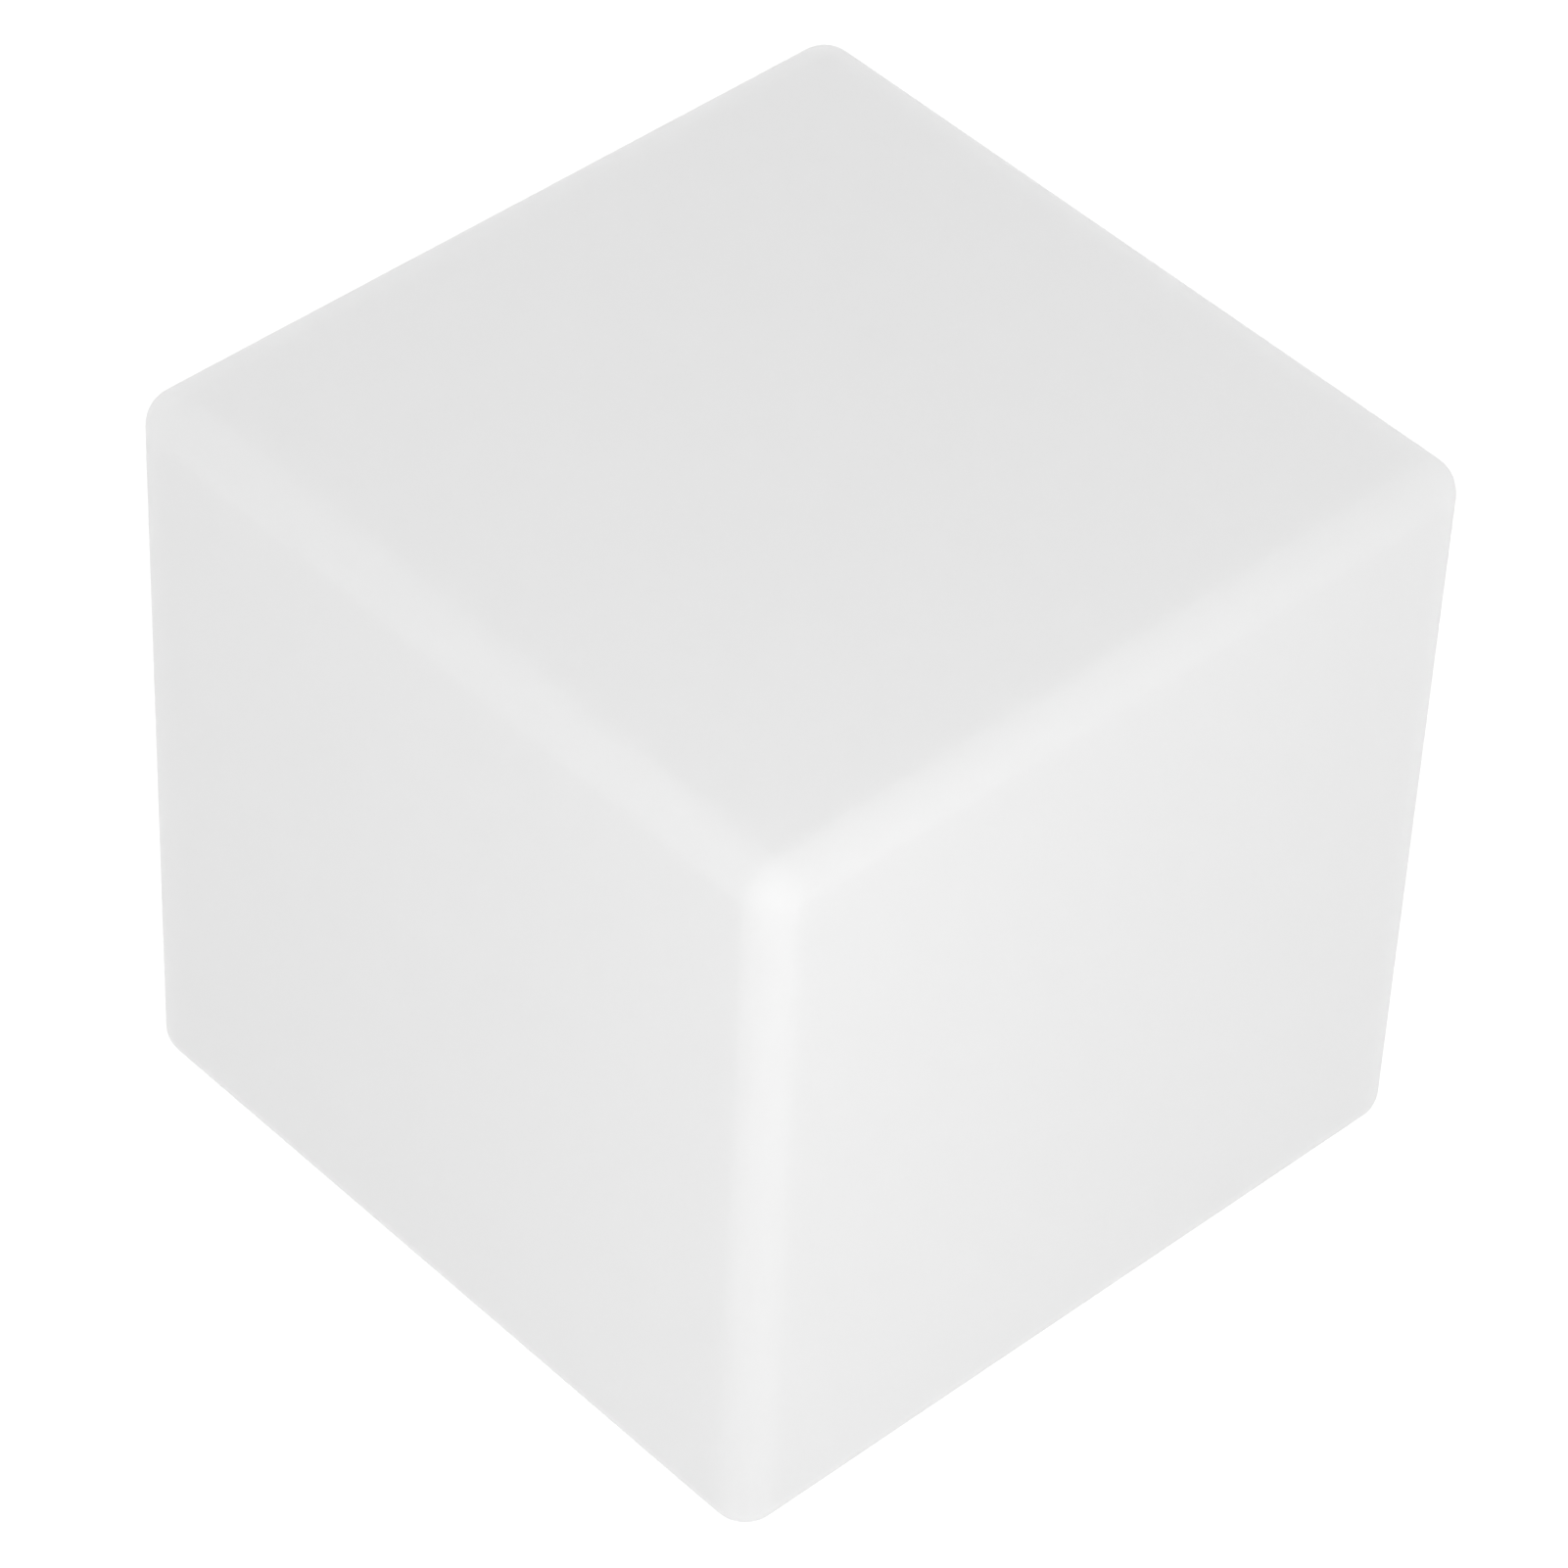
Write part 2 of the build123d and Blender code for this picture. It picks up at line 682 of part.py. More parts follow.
cap_top_z = panel_z - cap_gap
hinge_z = cap_top_z - strap_thickness / 2
stub_top_z = socket_nose_z - cap_stub_below_nose
cap_bottom_z = cap_top_z - cap_thickness
tab_centre_x = socket_x - cap_diameter / 2

with BuildPart() as port_cap:
    with BuildSketch(Plane.XY.offset(cap_bottom_z)):
        with Locations((socket_x, 0)):
            Circle(cap_diameter / 2)
    extrude(amount=cap_thickness)
    fillet(port_cap.edges().sort_by(Axis.Z)[0], cap_edge_radius)
    with BuildSketch(Plane.XY.offset(cap_bottom_z)):
        with Locations((tab_centre_x, 0)):
            SlotOverall(2 * cap_tab_length, strap_width)
    extrude(amount=strap_thickness)
    with BuildSketch(Plane.XY.offset(cap_top_z)):
        with Locations((socket_x, 0)):
            Circle(port_hole_diameter / 2 - cap_stub_gap)
    extrude(amount=stub_top_z - cap_top_z)
    chamfer(port_cap.edges().sort_by(Axis.Z)[-1], cap_stub_lead)
    with BuildSketch(Plane.XZ):
        with Locations(((socket_x + hinge_x) / 2, hinge_z)):
            Rectangle(hinge_x - socket_x, strap_thickness)
        with Locations((hinge_x, hinge_z)):
            Circle(strap_thickness / 2)
    extrude(amount=strap_width / 2, both=True)
write(port_cap, "port_cap")

anchor_bottom_z = hinge_z - strap_thickness / 2
barb_root_radius = anchor_peg_diameter / 2
with BuildPart() as cap_anchor:
    with BuildSketch(Plane.XY.offset(anchor_bottom_z)):
        with Locations((anchor_x, 0)):
            Rectangle(anchor_length, strap_width)
    extrude(amount=panel_z - anchor_bottom_z)
    near_hinge = cap_anchor.edges().filter_by(Axis.Y).group_by(Axis.Z)[0].sort_by(Axis.X)[0]
    chamfer(near_hinge, anchor_bevel)
    with BuildSketch(Plane.XY.offset(panel_z)):
        with Locations((anchor_x, 0)):
            Circle(anchor_peg_diameter / 2)
    extrude(amount=flange_top_z - panel_z)
    with BuildSketch(Plane.XY.offset(flange_top_z)):
        with Locations((anchor_x, 0)):
            Circle(anchor_barb_diameter / 2)
    extrude(amount=anchor_barb_height)
    chamfer(cap_anchor.edges().sort_by(Axis.Z)[-1], (anchor_barb_diameter - anchor_peg_diameter) / 2)
write(cap_anchor, "cap_anchor")

indicator_led_z = board_z - indicator_led_height
with BuildPart() as light_pipe:
    with BuildSketch(Plane.XY.offset(panel_z - light_pipe_proud)):
        Circle(light_pipe_diameter / 2)
    extrude(amount=indicator_led_z - light_pipe_end_gap - panel_z + light_pipe_proud)
    with BuildSketch(Plane.XY.offset(flange_top_z)):
        Circle(light_pipe_collar_diameter / 2)
    extrude(amount=light_pipe_collar_height)
write(light_pipe, "light_pipe")

with BuildPart() as indicator_led:
    with BuildSketch(Plane.XY.offset(indicator_led_z)):
        Circle(indicator_led_diameter / 2)
    extrude(amount=indicator_led_height)
    fillet(indicator_led.edges().sort_by(Axis.Z)[0], indicator_led_nose_radius)
    with BuildSketch(Plane.XY.offset(board_z)):
        Circle(indicator_led_diameter / 2 + indicator_led_rim)
    extrude(amount=-light_pipe_collar_height)
write(indicator_led, "indicator_led")

# ----------------------------------------------------------------- the control board

with BuildPart() as control_board:
    with BuildSketch(Plane.XY.offset(board_z)):
        RectangleRounded(board_length, board_width, board_corner_radius)
        with Locations(*board_screw_places):
            Circle(m3_hole_diameter / 2, mode=Mode.SUBTRACT)
    extrude(amount=board_thickness)
write(control_board, "control_board")

write(pan_head_screws(driven_down(board_top_z), board_screw_places, m3_screw), "board_screws")

with BuildPart() as control_chips:
    for x, y, length, width, height in board_chips:
        with BuildSketch(Plane.XY.offset(board_top_z)):
            with Locations((x, y)):
                Rectangle(length, width)
        extrude(amount=height)
write(control_chips, "control_chips")

with BuildPart() as power_inductor:
    with BuildSketch(Plane.XY.offset(board_top_z)):
        with Locations(inductor_place):
            RectangleRounded(inductor_size, inductor_size, inductor_corner)
    extrude(amount=inductor_height)
write(power_inductor, "power_inductor")

with BuildPart() as board_capacitors:
    with BuildSketch(Plane.XY.offset(board_top_z)):
        with Locations(*capacitor_places):
            Circle(capacitor_diameter / 2)
    extrude(amount=capacitor_height)
    chamfer(board_capacitors.edges().group_by(Axis.Z)[-1], capacitor_edge)
write(board_capacitors, "board_capacitors")

plug_room = plug_length - plug_stands_out + plug_gap
header_width = plug_width + 2 * (plug_gap + header_wall)
header_height = plug_height + 2 * (plug_gap + header_wall)
header_length = plug_room + header_wall


def board_header(mouth):
    """Shrouded header on a board, its open face on the plane's X axis and facing +Y."""
    with BuildPart() as header:
        with BuildSketch(mouth):
            with Locations((0, -header_length / 2)):
                Rectangle(header_width, header_length)
        extrude(amount=header_height)
        with BuildSketch(mouth.offset(header_wall)):
            with Locations((0, -plug_room / 2)):
                Rectangle(plug_width + 2 * plug_gap, plug_room)
        extrude(amount=plug_height + 2 * plug_gap, mode=Mode.SUBTRACT)
    return header


def header_plug(mouth):
    """Plug pushed into such a header, with its end standing out."""
    with BuildPart() as plug:
        with BuildSketch(mouth.offset(header_wall + plug_gap)):
            with Locations((0, plug_stands_out - plug_length / 2)):
                Rectangle(plug_width, plug_length)
        extrude(amount=plug_height)
    return plug


battery_mouth = Plane((*battery_header_place, board_top_z), x_dir=(0, -1, 0), z_dir=(0, 0, 1))
ribbon_mouth = Plane((ribbon_x, ribbon_header_y, board_top_z), x_dir=(1, 0, 0), z_dir=(0, 0, 1))
led_mouth = Plane((ribbon_x, led_header_y, led_board_z), x_dir=(-1, 0, 0), z_dir=(0, 0, -1))
write(board_header(battery_mouth), "battery_header")
write(header_plug(battery_mouth), "battery_plug")
write(board_header(ribbon_mouth), "ribbon_header")
write(header_plug(ribbon_mouth), "ribbon_plug")
write(board_header(led_mouth), "led_header")
write(header_plug(led_mouth), "led_plug")

# --------------------------------------------------------------- battery and cradle

end_wall_inside = cell_length / 2 + contact_room
end_wall_outside = end_wall_inside + cradle_end_wall
end_wall_top_z = cell_floor_z + cradle_end_height
clamp_seat_z = cell_floor_z + cradle_trough_height
cell_rows = (-cell_pitch / 2, cell_pitch / 2)
notch_length = cradle_length / 2 - end_wall_outside

with BuildPart() as battery_cradle:
    with BuildSketch(Plane.XY.offset(cradle_z)):
        RectangleRounded(cradle_length, cradle_width, cradle_corner_radius)
        with Locations(*cradle_screw_places):
            Circle(m3_hole_diameter / 2, mode=Mode.SUBTRACT)
        with Locations((end_wall_outside + notch_length / 2, 0)):
            Rectangle(notch_length, lead_notch_width, mode=Mode.SUBTRACT)
    extrude(amount=cradle_floor)
    with BuildSketch(Plane.XY.offset(cell_floor_z)):
        Rectangle(cradle_trough_length, cell_pitch + cell_diameter / 2)
        with Locations(*clamp_screw_places):
            Circle(clamp_boss_diameter / 2)
    extrude(amount=cradle_trough_height)
    with BuildSketch(Plane.YZ):
        with Locations(*[(y, cell_axis_z) for y in cell_rows]):
            Circle(cell_diameter / 2 + cell_gap)
    extrude(amount=cradle_trough_length / 2, both=True, mode=Mode.SUBTRACT)
    with BuildSketch(Plane.XY.offset(cell_floor_z)):
        with GridLocations(end_wall_inside + end_wall_outside, 0, 2, 1):
            Rectangle(cradle_end_wall, 2 * cell_pitch)
    extrude(amount=cradle_end_height)
    wall_rims = battery_cradle.edges().filter_by(Axis.Y).group_by(Axis.Z)[-1]
    fillet(wall_rims, contact_bend_radius)
    with BuildSketch(Plane.XY.offset(clamp_seat_z)):
        with Locations(*clamp_screw_places):
            Circle(m3_screw[0] / 2 + m3_pilot_gap)
    extrude(amount=-(m3_screw[1] - clamp_wall + screw_tip_room), mode=Mode.SUBTRACT)
write(battery_cradle, "battery_cradle")

cradle_seat = driven_down(cradle_z + cradle_floor)
write(pan_head_screws(cradle_seat, cradle_screw_places, m3_screw), "cradle_screws")

can_length = cell_length - cell_nub_height
for number, (row_y, nub_side) in enumerate(zip(cell_rows, (1, -1)), start=1):
    with BuildPart() as battery_cell:
        with BuildSketch(Plane((-nub_side * cell_length / 2, row_y, cell_axis_z), z_dir=(nub_side, 0, 0))):
            Circle(cell_diameter / 2)
        extrude(amount=can_length)
        chamfer(battery_cell.edges().filter_by(GeomType.CIRCLE), cell_edge_bevel)
        with BuildSketch(Plane((nub_side * cell_length / 2, row_y, cell_axis_z), z_dir=(-nub_side, 0, 0))):
            Circle(cell_nub_diameter / 2)
        extrude(amount=cell_nub_height)
    write(battery_cell, f"battery_cell_{number}")


def contact_strip(side, row_y, width):
    """Bowed strip between a cell and an end wall, folded over the wall's top."""
    inner_x = side * (end_wall_inside - contact_thickness / 2)
    outer_x = side * (end_wall_outside + contact_thickness / 2)
    bow_x = side * (cell_length / 2 + contact_bow_gap + contact_thickness / 2)
    fold_z = end_wall_top_z + contact_thickness / 2
    with BuildPart() as strip:
        with BuildSketch(Plane.XZ.offset(-row_y)):
            with BuildLine():
                FilletPolyline(
                    (inner_x, cell_axis_z - contact_bow_height),
                    (bow_x, cell_axis_z),
                    (inner_x, fold_z - contact_fold_height),
                    (inner_x, fold_z),
                    (outer_x, fold_z),
                    (outer_x, fold_z - contact_tab_height),
                    radius=contact_bend_radius,
                )
            trace(line_width=contact_thickness)
        extrude(amount=width / 2, both=True)
    return strip


write(contact_strip(1, cell_rows[1], contact_width), "contact_minus")
write(contact_strip(1, cell_rows[0], contact_width), "contact_plus")
write(contact_strip(-1, 0, cell_pitch + contact_width), "contact_link")

clamp_inside = cell_diameter + 2 * clamp_cell_gap
clamp_outside = clamp_inside + 2 * clamp_wall
clamp_foot_y = (cell_pitch + clamp_inside) / 2 + clamp_foot_length / 2
clamp_leg_height = cell_axis_z - clamp_seat_z
clamp_leg_centre_z = (cell_axis_z + clamp_seat_z) / 2

with BuildPart() as battery_clamp:
    with BuildSketch(Plane.YZ):
        with Locations((0, cell_axis_z)):
            SlotOverall(cell_pitch + clamp_outside, clamp_outside)
        with Locations((0, clamp_leg_centre_z)):
            Rectangle(cell_pitch + clamp_outside, clamp_leg_height)
        with Locations((-clamp_foot_y, clamp_seat_z), (clamp_foot_y, clamp_seat_z)):
            Rectangle(clamp_foot_length, clamp_wall, align=(Align.CENTER, Align.MIN))
        with Locations((0, cell_axis_z)):
            SlotOverall(cell_pitch + clamp_inside, clamp_inside, mode=Mode.SUBTRACT)
        with Locations((0, clamp_leg_centre_z)):
            Rectangle(cell_pitch + clamp_inside, clamp_leg_height, mode=Mode.SUBTRACT)
        with Locations((0, clamp_seat_z)):
            Rectangle(
                cradle_width, clamp_outside, align=(Align.CENTER, Align.MAX), mode=Mode.SUBTRACT
            )
    extrude(amount=clamp_length / 2, both=True)
    with BuildSketch(Plane.XY.offset(clamp_seat_z)):
        with Locations(*clamp_screw_places):
            Circle(m3_hole_diameter / 2)
    extrude(amount=clamp_wall, mode=Mode.SUBTRACT)
write(battery_clamp, "battery_clamp")

clamp_seat = driven_down(clamp_seat_z + clamp_wall)
write(pan_head_screws(clamp_seat, clamp_screw_places, m3_screw), "clamp_screws")

# ---------------------------------------------------------- LED board, dome and seal

with BuildPart() as led_board:
    with BuildSketch(Plane.XY.offset(led_board_z)):
        Circle(led_board_diameter / 2)
        with Locations(*led_board_screw_places):
            Circle(m3_hole_diameter / 2, mode=Mode.SUBTRACT)
    extrude(amount=led_board_thickness)
write(led_board, "led_board")

led_board_seat = driven_down(led_board_top_z)
write(pan_head_screws(led_board_seat, led_board_screw_places, m3_screw), "led_board_screws")

with BuildPart() as led_chips:
    with BuildSketch(Plane.XY.offset(led_board_top_z)):
        for count, diameter in zip(led_ring_counts, led_ring_diameters):
            with PolarLocations(diameter / 2, count, start_angle=led_ring_start):
                Rectangle(led_size, led_size)
    extrude(amount=led_height)
write(led_chips, "led_chips")

with BuildPart() as remote_receiver:
    with BuildSketch(Plane.XY.offset(led_board_top_z)):
        Rectangle(receiver_length, receiver_width)
    extrude(amount=receiver_height)
    with Locations((0, 0, led_board_top_z + receiver_height)):
        Sphere(receiver_lens_radius)
write(remote_receiver, "remote_receiver")

dome_flange_top_z = dome_seat_z + dome_flange_thickness
foot_radius = dome_foot_diameter / 2
dome_radius = (foot_radius**2 + dome_rise**2) / (2 * dome_rise)
dome_centre_z = dome_flange_top_z + dome_rise - dome_radius
inner_dome_radius = dome_radius - dome_wall
inner_foot_radius = sqrt(inner_dome_radius**2 - (dome_radius - dome_rise) ** 2)
spigot_radius = cup_inner_diameter / 2 - dome_spigot_gap
crown_z = dome_flange_top_z + dome_rise
hook_centre_radius = spigot_radius + (hook_reach - dome_spigot_wall / 2) / 2

with BuildPart() as light_dome:
    with BuildSketch(Plane.XZ):
        with BuildLine():
            RadiusArc((0, crown_z), (foot_radius, dome_flange_top_z), dome_radius)
            Polyline(
                (foot_radius, dome_flange_top_z),
                (cup_diameter / 2, dome_flange_top_z),
                (cup_diameter / 2, dome_seat_z),
                (spigot_radius, dome_seat_z),
                (spigot_radius, hook_z),
                (spigot_radius - dome_spigot_wall, hook_z),
                (spigot_radius - dome_spigot_wall, dome_seat_z),
                (inner_foot_radius, dome_seat_z),
                (inner_foot_radius, dome_flange_top_z),
            )
            RadiusArc((inner_foot_radius, dome_flange_top_z), (0, crown_z - dome_wall), -inner_dome_radius)
            Line((0, crown_z - dome_wall), (0, crown_z))
        make_face()
    revolve(axis=Axis.Z)
    with BuildSketch(Plane.XY.offset(hook_z)):
        with PolarLocations(hook_centre_radius, hook_count, start_angle=180 / hook_count):
            Rectangle(hook_reach + dome_spigot_wall / 2, hook_width)
    extrude(amount=hook_height)
write(light_dome, "light_dome")

with BuildPart() as dome_seal:
    with BuildSketch(Plane.XY.offset(cup_top_z)):
        Circle(cup_diameter / 2 - dome_seal_margin)
        Circle(cup_inner_diameter / 2 + dome_seal_margin, mode=Mode.SUBTRACT)
    extrude(amount=dome_seal_thickness)
write(dome_seal, "dome_seal")

# ----------------------------------------------------------------------------- leads


def lead(section, route, width_dir):
    """Insulated lead swept along straight runs with a wide bend at each corner."""
    points = [Vector(*point) for point in route]
    runs = [end - start for start, end in zip(points, points[1:])]
    bends = [
        bend_share * min(before.length, after.length) / tan(before.get_angle(after) * pi / 360)
        for before, after in zip(runs, runs[1:])
    ]
    print("bend radii", [round(bend, 1) for bend in bends])
    with BuildPart() as swept:
        with BuildLine():
            FilletPolyline(*points, radius=bends)
        with BuildSketch(Plane(points[0], x_dir=width_dir, z_dir=runs[0])):
            add(section)
        sweep()
    return swept


plug_axis_height = header_wall + plug_gap + plug_height / 2
lead_low_z = board_top_z + plug_axis_height
lead_top_z = end_wall_top_z - lead_diameter
lead_x = end_wall_outside + contact_thickness + lead_solder_gap + lead_diameter / 2
battery_plug_x = battery_header_place[0] + plug_stands_out
lead_section = Circle(lead_diameter / 2)

for row_y, name in ((cell_rows[0], "lead_plus"), (cell_rows[1], "lead_minus")):
    hole_y = copysign(lead_pitch / 2, row_y)
    route = [
        (
            lead_x + inward * (battery_plug_x - lead_x),
            row_y + sideways * (hole_y - row_y),
            lead_top_z + down * (lead_low_z - lead_top_z),
        )
        for inward, sideways, down in lead_way
    ]
    write(lead(lead_section, route, (1, 0, 0)), name)

ribbon_low_z = board_top_z + plug_axis_height
ribbon_high_z = led_board_z - plug_axis_height
ribbon_low_y = ribbon_header_y + plug_stands_out
ribbon_high_y = led_header_y + plug_stands_out
cradle_edge_y = cradle_width / 2
ribbon_route = (
    (ribbon_x, ribbon_low_y, ribbon_low_z),
    (ribbon_x, cradle_edge_y + ribbon_out[0], ribbon_low_z),
    (ribbon_x, cradle_edge_y + ribbon_out[1], (ribbon_low_z + ribbon_high_z) / 2),
    (ribbon_x, cradle_edge_y + ribbon_out[2], ribbon_high_z),
    (ribbon_x, ribbon_high_y, ribbon_high_z),
)
ribbon_section = Rectangle(ribbon_width, ribbon_thickness)
write(lead(ribbon_section, ribbon_route, (1, 0, 0)), "led_ribbon")
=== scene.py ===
from math import pi, radians

import bmesh
import bpy
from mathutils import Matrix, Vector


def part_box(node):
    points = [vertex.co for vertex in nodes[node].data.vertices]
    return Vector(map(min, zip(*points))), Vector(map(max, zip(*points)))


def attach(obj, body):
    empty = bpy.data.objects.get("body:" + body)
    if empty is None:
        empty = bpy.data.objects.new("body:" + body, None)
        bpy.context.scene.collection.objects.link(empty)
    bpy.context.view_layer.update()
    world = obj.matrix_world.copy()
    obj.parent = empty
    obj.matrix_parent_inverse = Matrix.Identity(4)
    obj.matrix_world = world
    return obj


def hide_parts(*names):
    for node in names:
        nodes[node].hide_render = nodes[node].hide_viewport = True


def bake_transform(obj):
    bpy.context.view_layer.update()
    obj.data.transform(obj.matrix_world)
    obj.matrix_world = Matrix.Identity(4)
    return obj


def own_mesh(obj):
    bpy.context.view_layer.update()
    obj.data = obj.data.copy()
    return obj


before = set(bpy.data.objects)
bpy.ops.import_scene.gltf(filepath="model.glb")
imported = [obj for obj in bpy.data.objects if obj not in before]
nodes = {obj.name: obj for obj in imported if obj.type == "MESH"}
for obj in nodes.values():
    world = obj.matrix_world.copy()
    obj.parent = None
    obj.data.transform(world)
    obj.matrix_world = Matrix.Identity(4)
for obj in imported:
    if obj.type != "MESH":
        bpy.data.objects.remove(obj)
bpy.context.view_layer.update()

scene = bpy.context.scene

# ---------------------------------------------------------------------------- camera
# Standing eye height, 2.3 m from the cube, looking down on its near upright edge with a
# long lens and a slight roll.
camera = bpy.data.objects.new("camera", bpy.data.cameras.new("camera"))
camera.location = (1.21674, -1.19103, 1.73404)
camera.rotation_euler = (radians(46.829), radians(-1.985), radians(47.482))
camera.data.sensor_width = 36
camera.data.lens = 163.093
camera.data.clip_end = 40
scene.collection.objects.link(camera)
scene.camera = camera
scene.view_settings.view_transform = "Standard"

# ---------------------------------------------------------------------------- lights
# A pale, even room, and one soft box close to the near top corner, on the +X side.
room = bpy.data.worlds.new("room")
room.use_nodes = True
background = room.node_tree.nodes["Background"]
background.inputs["Color"].default_value = (1, 1, 1, 1)
background.inputs["Strength"].default_value = 0.915
scene.world = room

soft_box = bpy.data.objects.new("soft_box", bpy.data.lights.new("soft_box", "AREA"))
soft_box.data.shape = "DISK"
soft_box.data.size = 0.5
soft_box.data.energy = 1.15
soft_box.location = (0.62, -0.45, 0.60)
soft_box.rotation_euler = (radians(60.7), 0, radians(54))
scene.collection.objects.link(soft_box)

# ----------------------------------------------------------------------------- floor
# A sheet of white paper. Seen by the camera, or in gloss or glass, it glows as well, so
# that it is white there and the cube's shadow still darkens it.


def put(tree, kind, options={}, inputs={}):
    """Adds a node, with its options set and its inputs filled or linked."""
    node = tree.nodes.new(kind)
    for name, value in options.items():
        setattr(node, name, value)
    for name, value in inputs.items():
        socket = node.inputs[name]
        if isinstance(value, bpy.types.NodeSocket):
            tree.links.new(value, socket)
        else:
            socket.default_value = value
    return node.outputs


def calc(tree, operation, first, second=0.0):
    """Adds a Math node and gives its result."""
    return put(tree, "ShaderNodeMath", {"operation": operation}, {0: first, 1: second})[0]


sheet_size = 6.0
sheet_glow = 0.26
sheet_mesh = bpy.data.meshes.new("floor")
sheet_corners = [(x * sheet_size, y * sheet_size, 0) for x, y in ((-1, -1), (1, -1), (1, 1), (-1, 1))]
sheet_mesh.from_pydata(sheet_corners, [], [(0, 1, 2, 3)])
floor = bpy.data.objects.new("floor", sheet_mesh)
scene.collection.objects.link(floor)
paper = bpy.data.materials.new("white paper")
paper.use_nodes = True
tree = paper.node_tree
tree.nodes.clear()
matt = put(tree, "ShaderNodeBsdfDiffuse", {}, {"Color": (0.92, 0.92, 0.92, 1)})[0]
glow = put(tree, "ShaderNodeEmission", {}, {"Strength": sheet_glow})[0]
glowing = put(tree, "ShaderNodeAddShader", {}, {0: matt, 1: glow})[0]
light_path = put(tree, "ShaderNodeLightPath")
seen = calc(tree, "MAXIMUM", light_path["Is Camera Ray"], light_path["Is Glossy Ray"])
seen = calc(tree, "MAXIMUM", seen, light_path["Is Transmission Ray"])
shown = put(tree, "ShaderNodeMixShader", {}, {0: seen, 1: matt, 2: glowing})[0]

# From below, the sheet is see-through, and it lets the room's light up to the underside of
# whatever stands on it.
standing_gap = 0.02
sheet_back = put(tree, "ShaderNodeNewGeometry")["Backfacing"]
seen_from_below = calc(tree, "MULTIPLY", sheet_back, light_path["Is Camera Ray"])
close_above = calc(tree, "LESS_THAN", light_path["Ray Length"], standing_gap)
opened = calc(tree, "MAXIMUM", seen_from_below, close_above)
see_through = put(tree, "ShaderNodeBsdfTransparent")[0]
sheet = put(tree, "ShaderNodeMixShader", {}, {0: opened, 1: shown, 2: see_through})[0]
put(tree, "ShaderNodeOutputMaterial", {}, {"Surface": sheet})
sheet_mesh.materials.append(paper)

# ------------------------------------------------------------------------ cube shell
# Rotationally moulded polyethylene in one hollow piece, 3.5 mm thick and milky. Its
# underside is sunk in the middle into a round well, whose roof has the hole for the
# light unit and six bosses for its screws.


class Form:
    """A Geometry Nodes tree for one moulded or turned form, with its sizes by name."""

    def __init__(self, name, sizes, gives="Geometry"):
        self.tree = bpy.data.node_groups.new(name, "GeometryNodeTree")
        self.tree.interface.new_socket(gives, in_out="OUTPUT", socket_type="NodeSocket" + gives)
        for size in sizes:
            self.tree.interface.new_socket(size, in_out="INPUT", socket_type="NodeSocketFloat")
        self.size = self.put("NodeGroupInput")

    def put(self, kind, options={}, inputs={}):
        return put(self.tree, kind, options, inputs)

    def gives(self, result):
        self.put("NodeGroupOutput", {}, {0: result})

    def plus(self, first, second):
        return calc(self.tree, "ADD", first, second)

    def minus(self, first, second):
        return calc(self.tree, "SUBTRACT", first, second)

    def times(self, first, second):
        return calc(self.tree, "MULTIPLY", first, second)

    def use(self, form, sizes):
        return self.put("GeometryNodeGroup", {"node_tree": form.tree}, sizes)[0]

    def joined(self, *shapes):
        node = self.tree.nodes.new("GeometryNodeJoinGeometry")
        for shape in shapes:
            self.tree.links.new(shape, node.inputs[0])
        return node.outputs[0]

    def lifted(self, shape, height):
        place = self.put("ShaderNodeCombineXYZ", {}, {"Z": height})[0]
        return self.put("GeometryNodeTransform", {}, {"Geometry": shape, "Translation": place})[0]

    def circle(self, radius, quarter_steps):
        sizes = {"Resolution": 4 * quarter_steps, "Radius": radius}
        return self.put("GeometryNodeCurvePrimitiveCircle", {}, sizes)[0]

    def square(self, corner, radius, corner_steps):
        """A square path with rounded corners."""
        number = self.put("GeometryNodeInputIndex")[0]
        sizes = {"Number": number, "Steps": corner_steps, "Corner": corner, "Radius": radius}
        path = self.circle(1.0, corner_steps + 1)
        place = self.use(rounded_square, sizes)
        return self.put("GeometryNodeSetPosition", {}, {"Geometry": path, "Position": place})[0]

    def level_face(self, height, *paths):
        """A level face between paths, with holes where one lies in another."""
        face = self.put("GeometryNodeFillCurve", {"mode": "TRIANGLES"}, {"Curve": self.joined(*paths)})[0]
        return self.lifted(face, height)

    def wall(self, radius, steps, foot_height, head_height, foot_reach=0.0, head_reach=0.0, corner=0.0):
        """An upright wall round a circle, or round a square where its corners' centres are set."""
        sizes = {
            "Steps": steps,
            "Corner": corner,
            "Radius": radius,
            "Foot Reach": foot_reach,
            "Foot Height": foot_height,
            "Head Height": head_height,
            "Head Reach": head_reach,
        }
        return self.use(rolled_wall, sizes)

    def ring_points(self, count, radius):
        return self.put("GeometryNodeMeshCircle", {}, {"Vertices": count, "Radius": radius})[0]

    def square_points(self, spacing):
        sizes = {"Size X": spacing, "Size Y": spacing, "Vertices X": 2, "Vertices Y": 2}
        return self.put("GeometryNodeMeshGrid", {}, sizes)[0]

    def repeated(self, shape, points, turned=(0, 0, 0)):
        copies = {"Points": points, "Instance": shape, "Rotation": turned}
        instances = self.put("GeometryNodeInstanceOnPoints", {}, copies)[0]
        return self.put("GeometryNodeRealizeInstances", {}, {"Geometry": instances})[0]

    def welded(self, shape):
        return self.put("GeometryNodeMergeByDistance", {}, {"Geometry": shape, "Distance": weld_distance})[0]

    def made_of(self, shape, material):
        real = self.put("GeometryNodeRealizeInstances", {}, {"Geometry": shape})[0]
        return self.put("GeometryNodeSetMaterial", {}, {"Geometry": real, "Material": material})[0]


weld_distance = 0.00001
quarter_turn = pi / 2

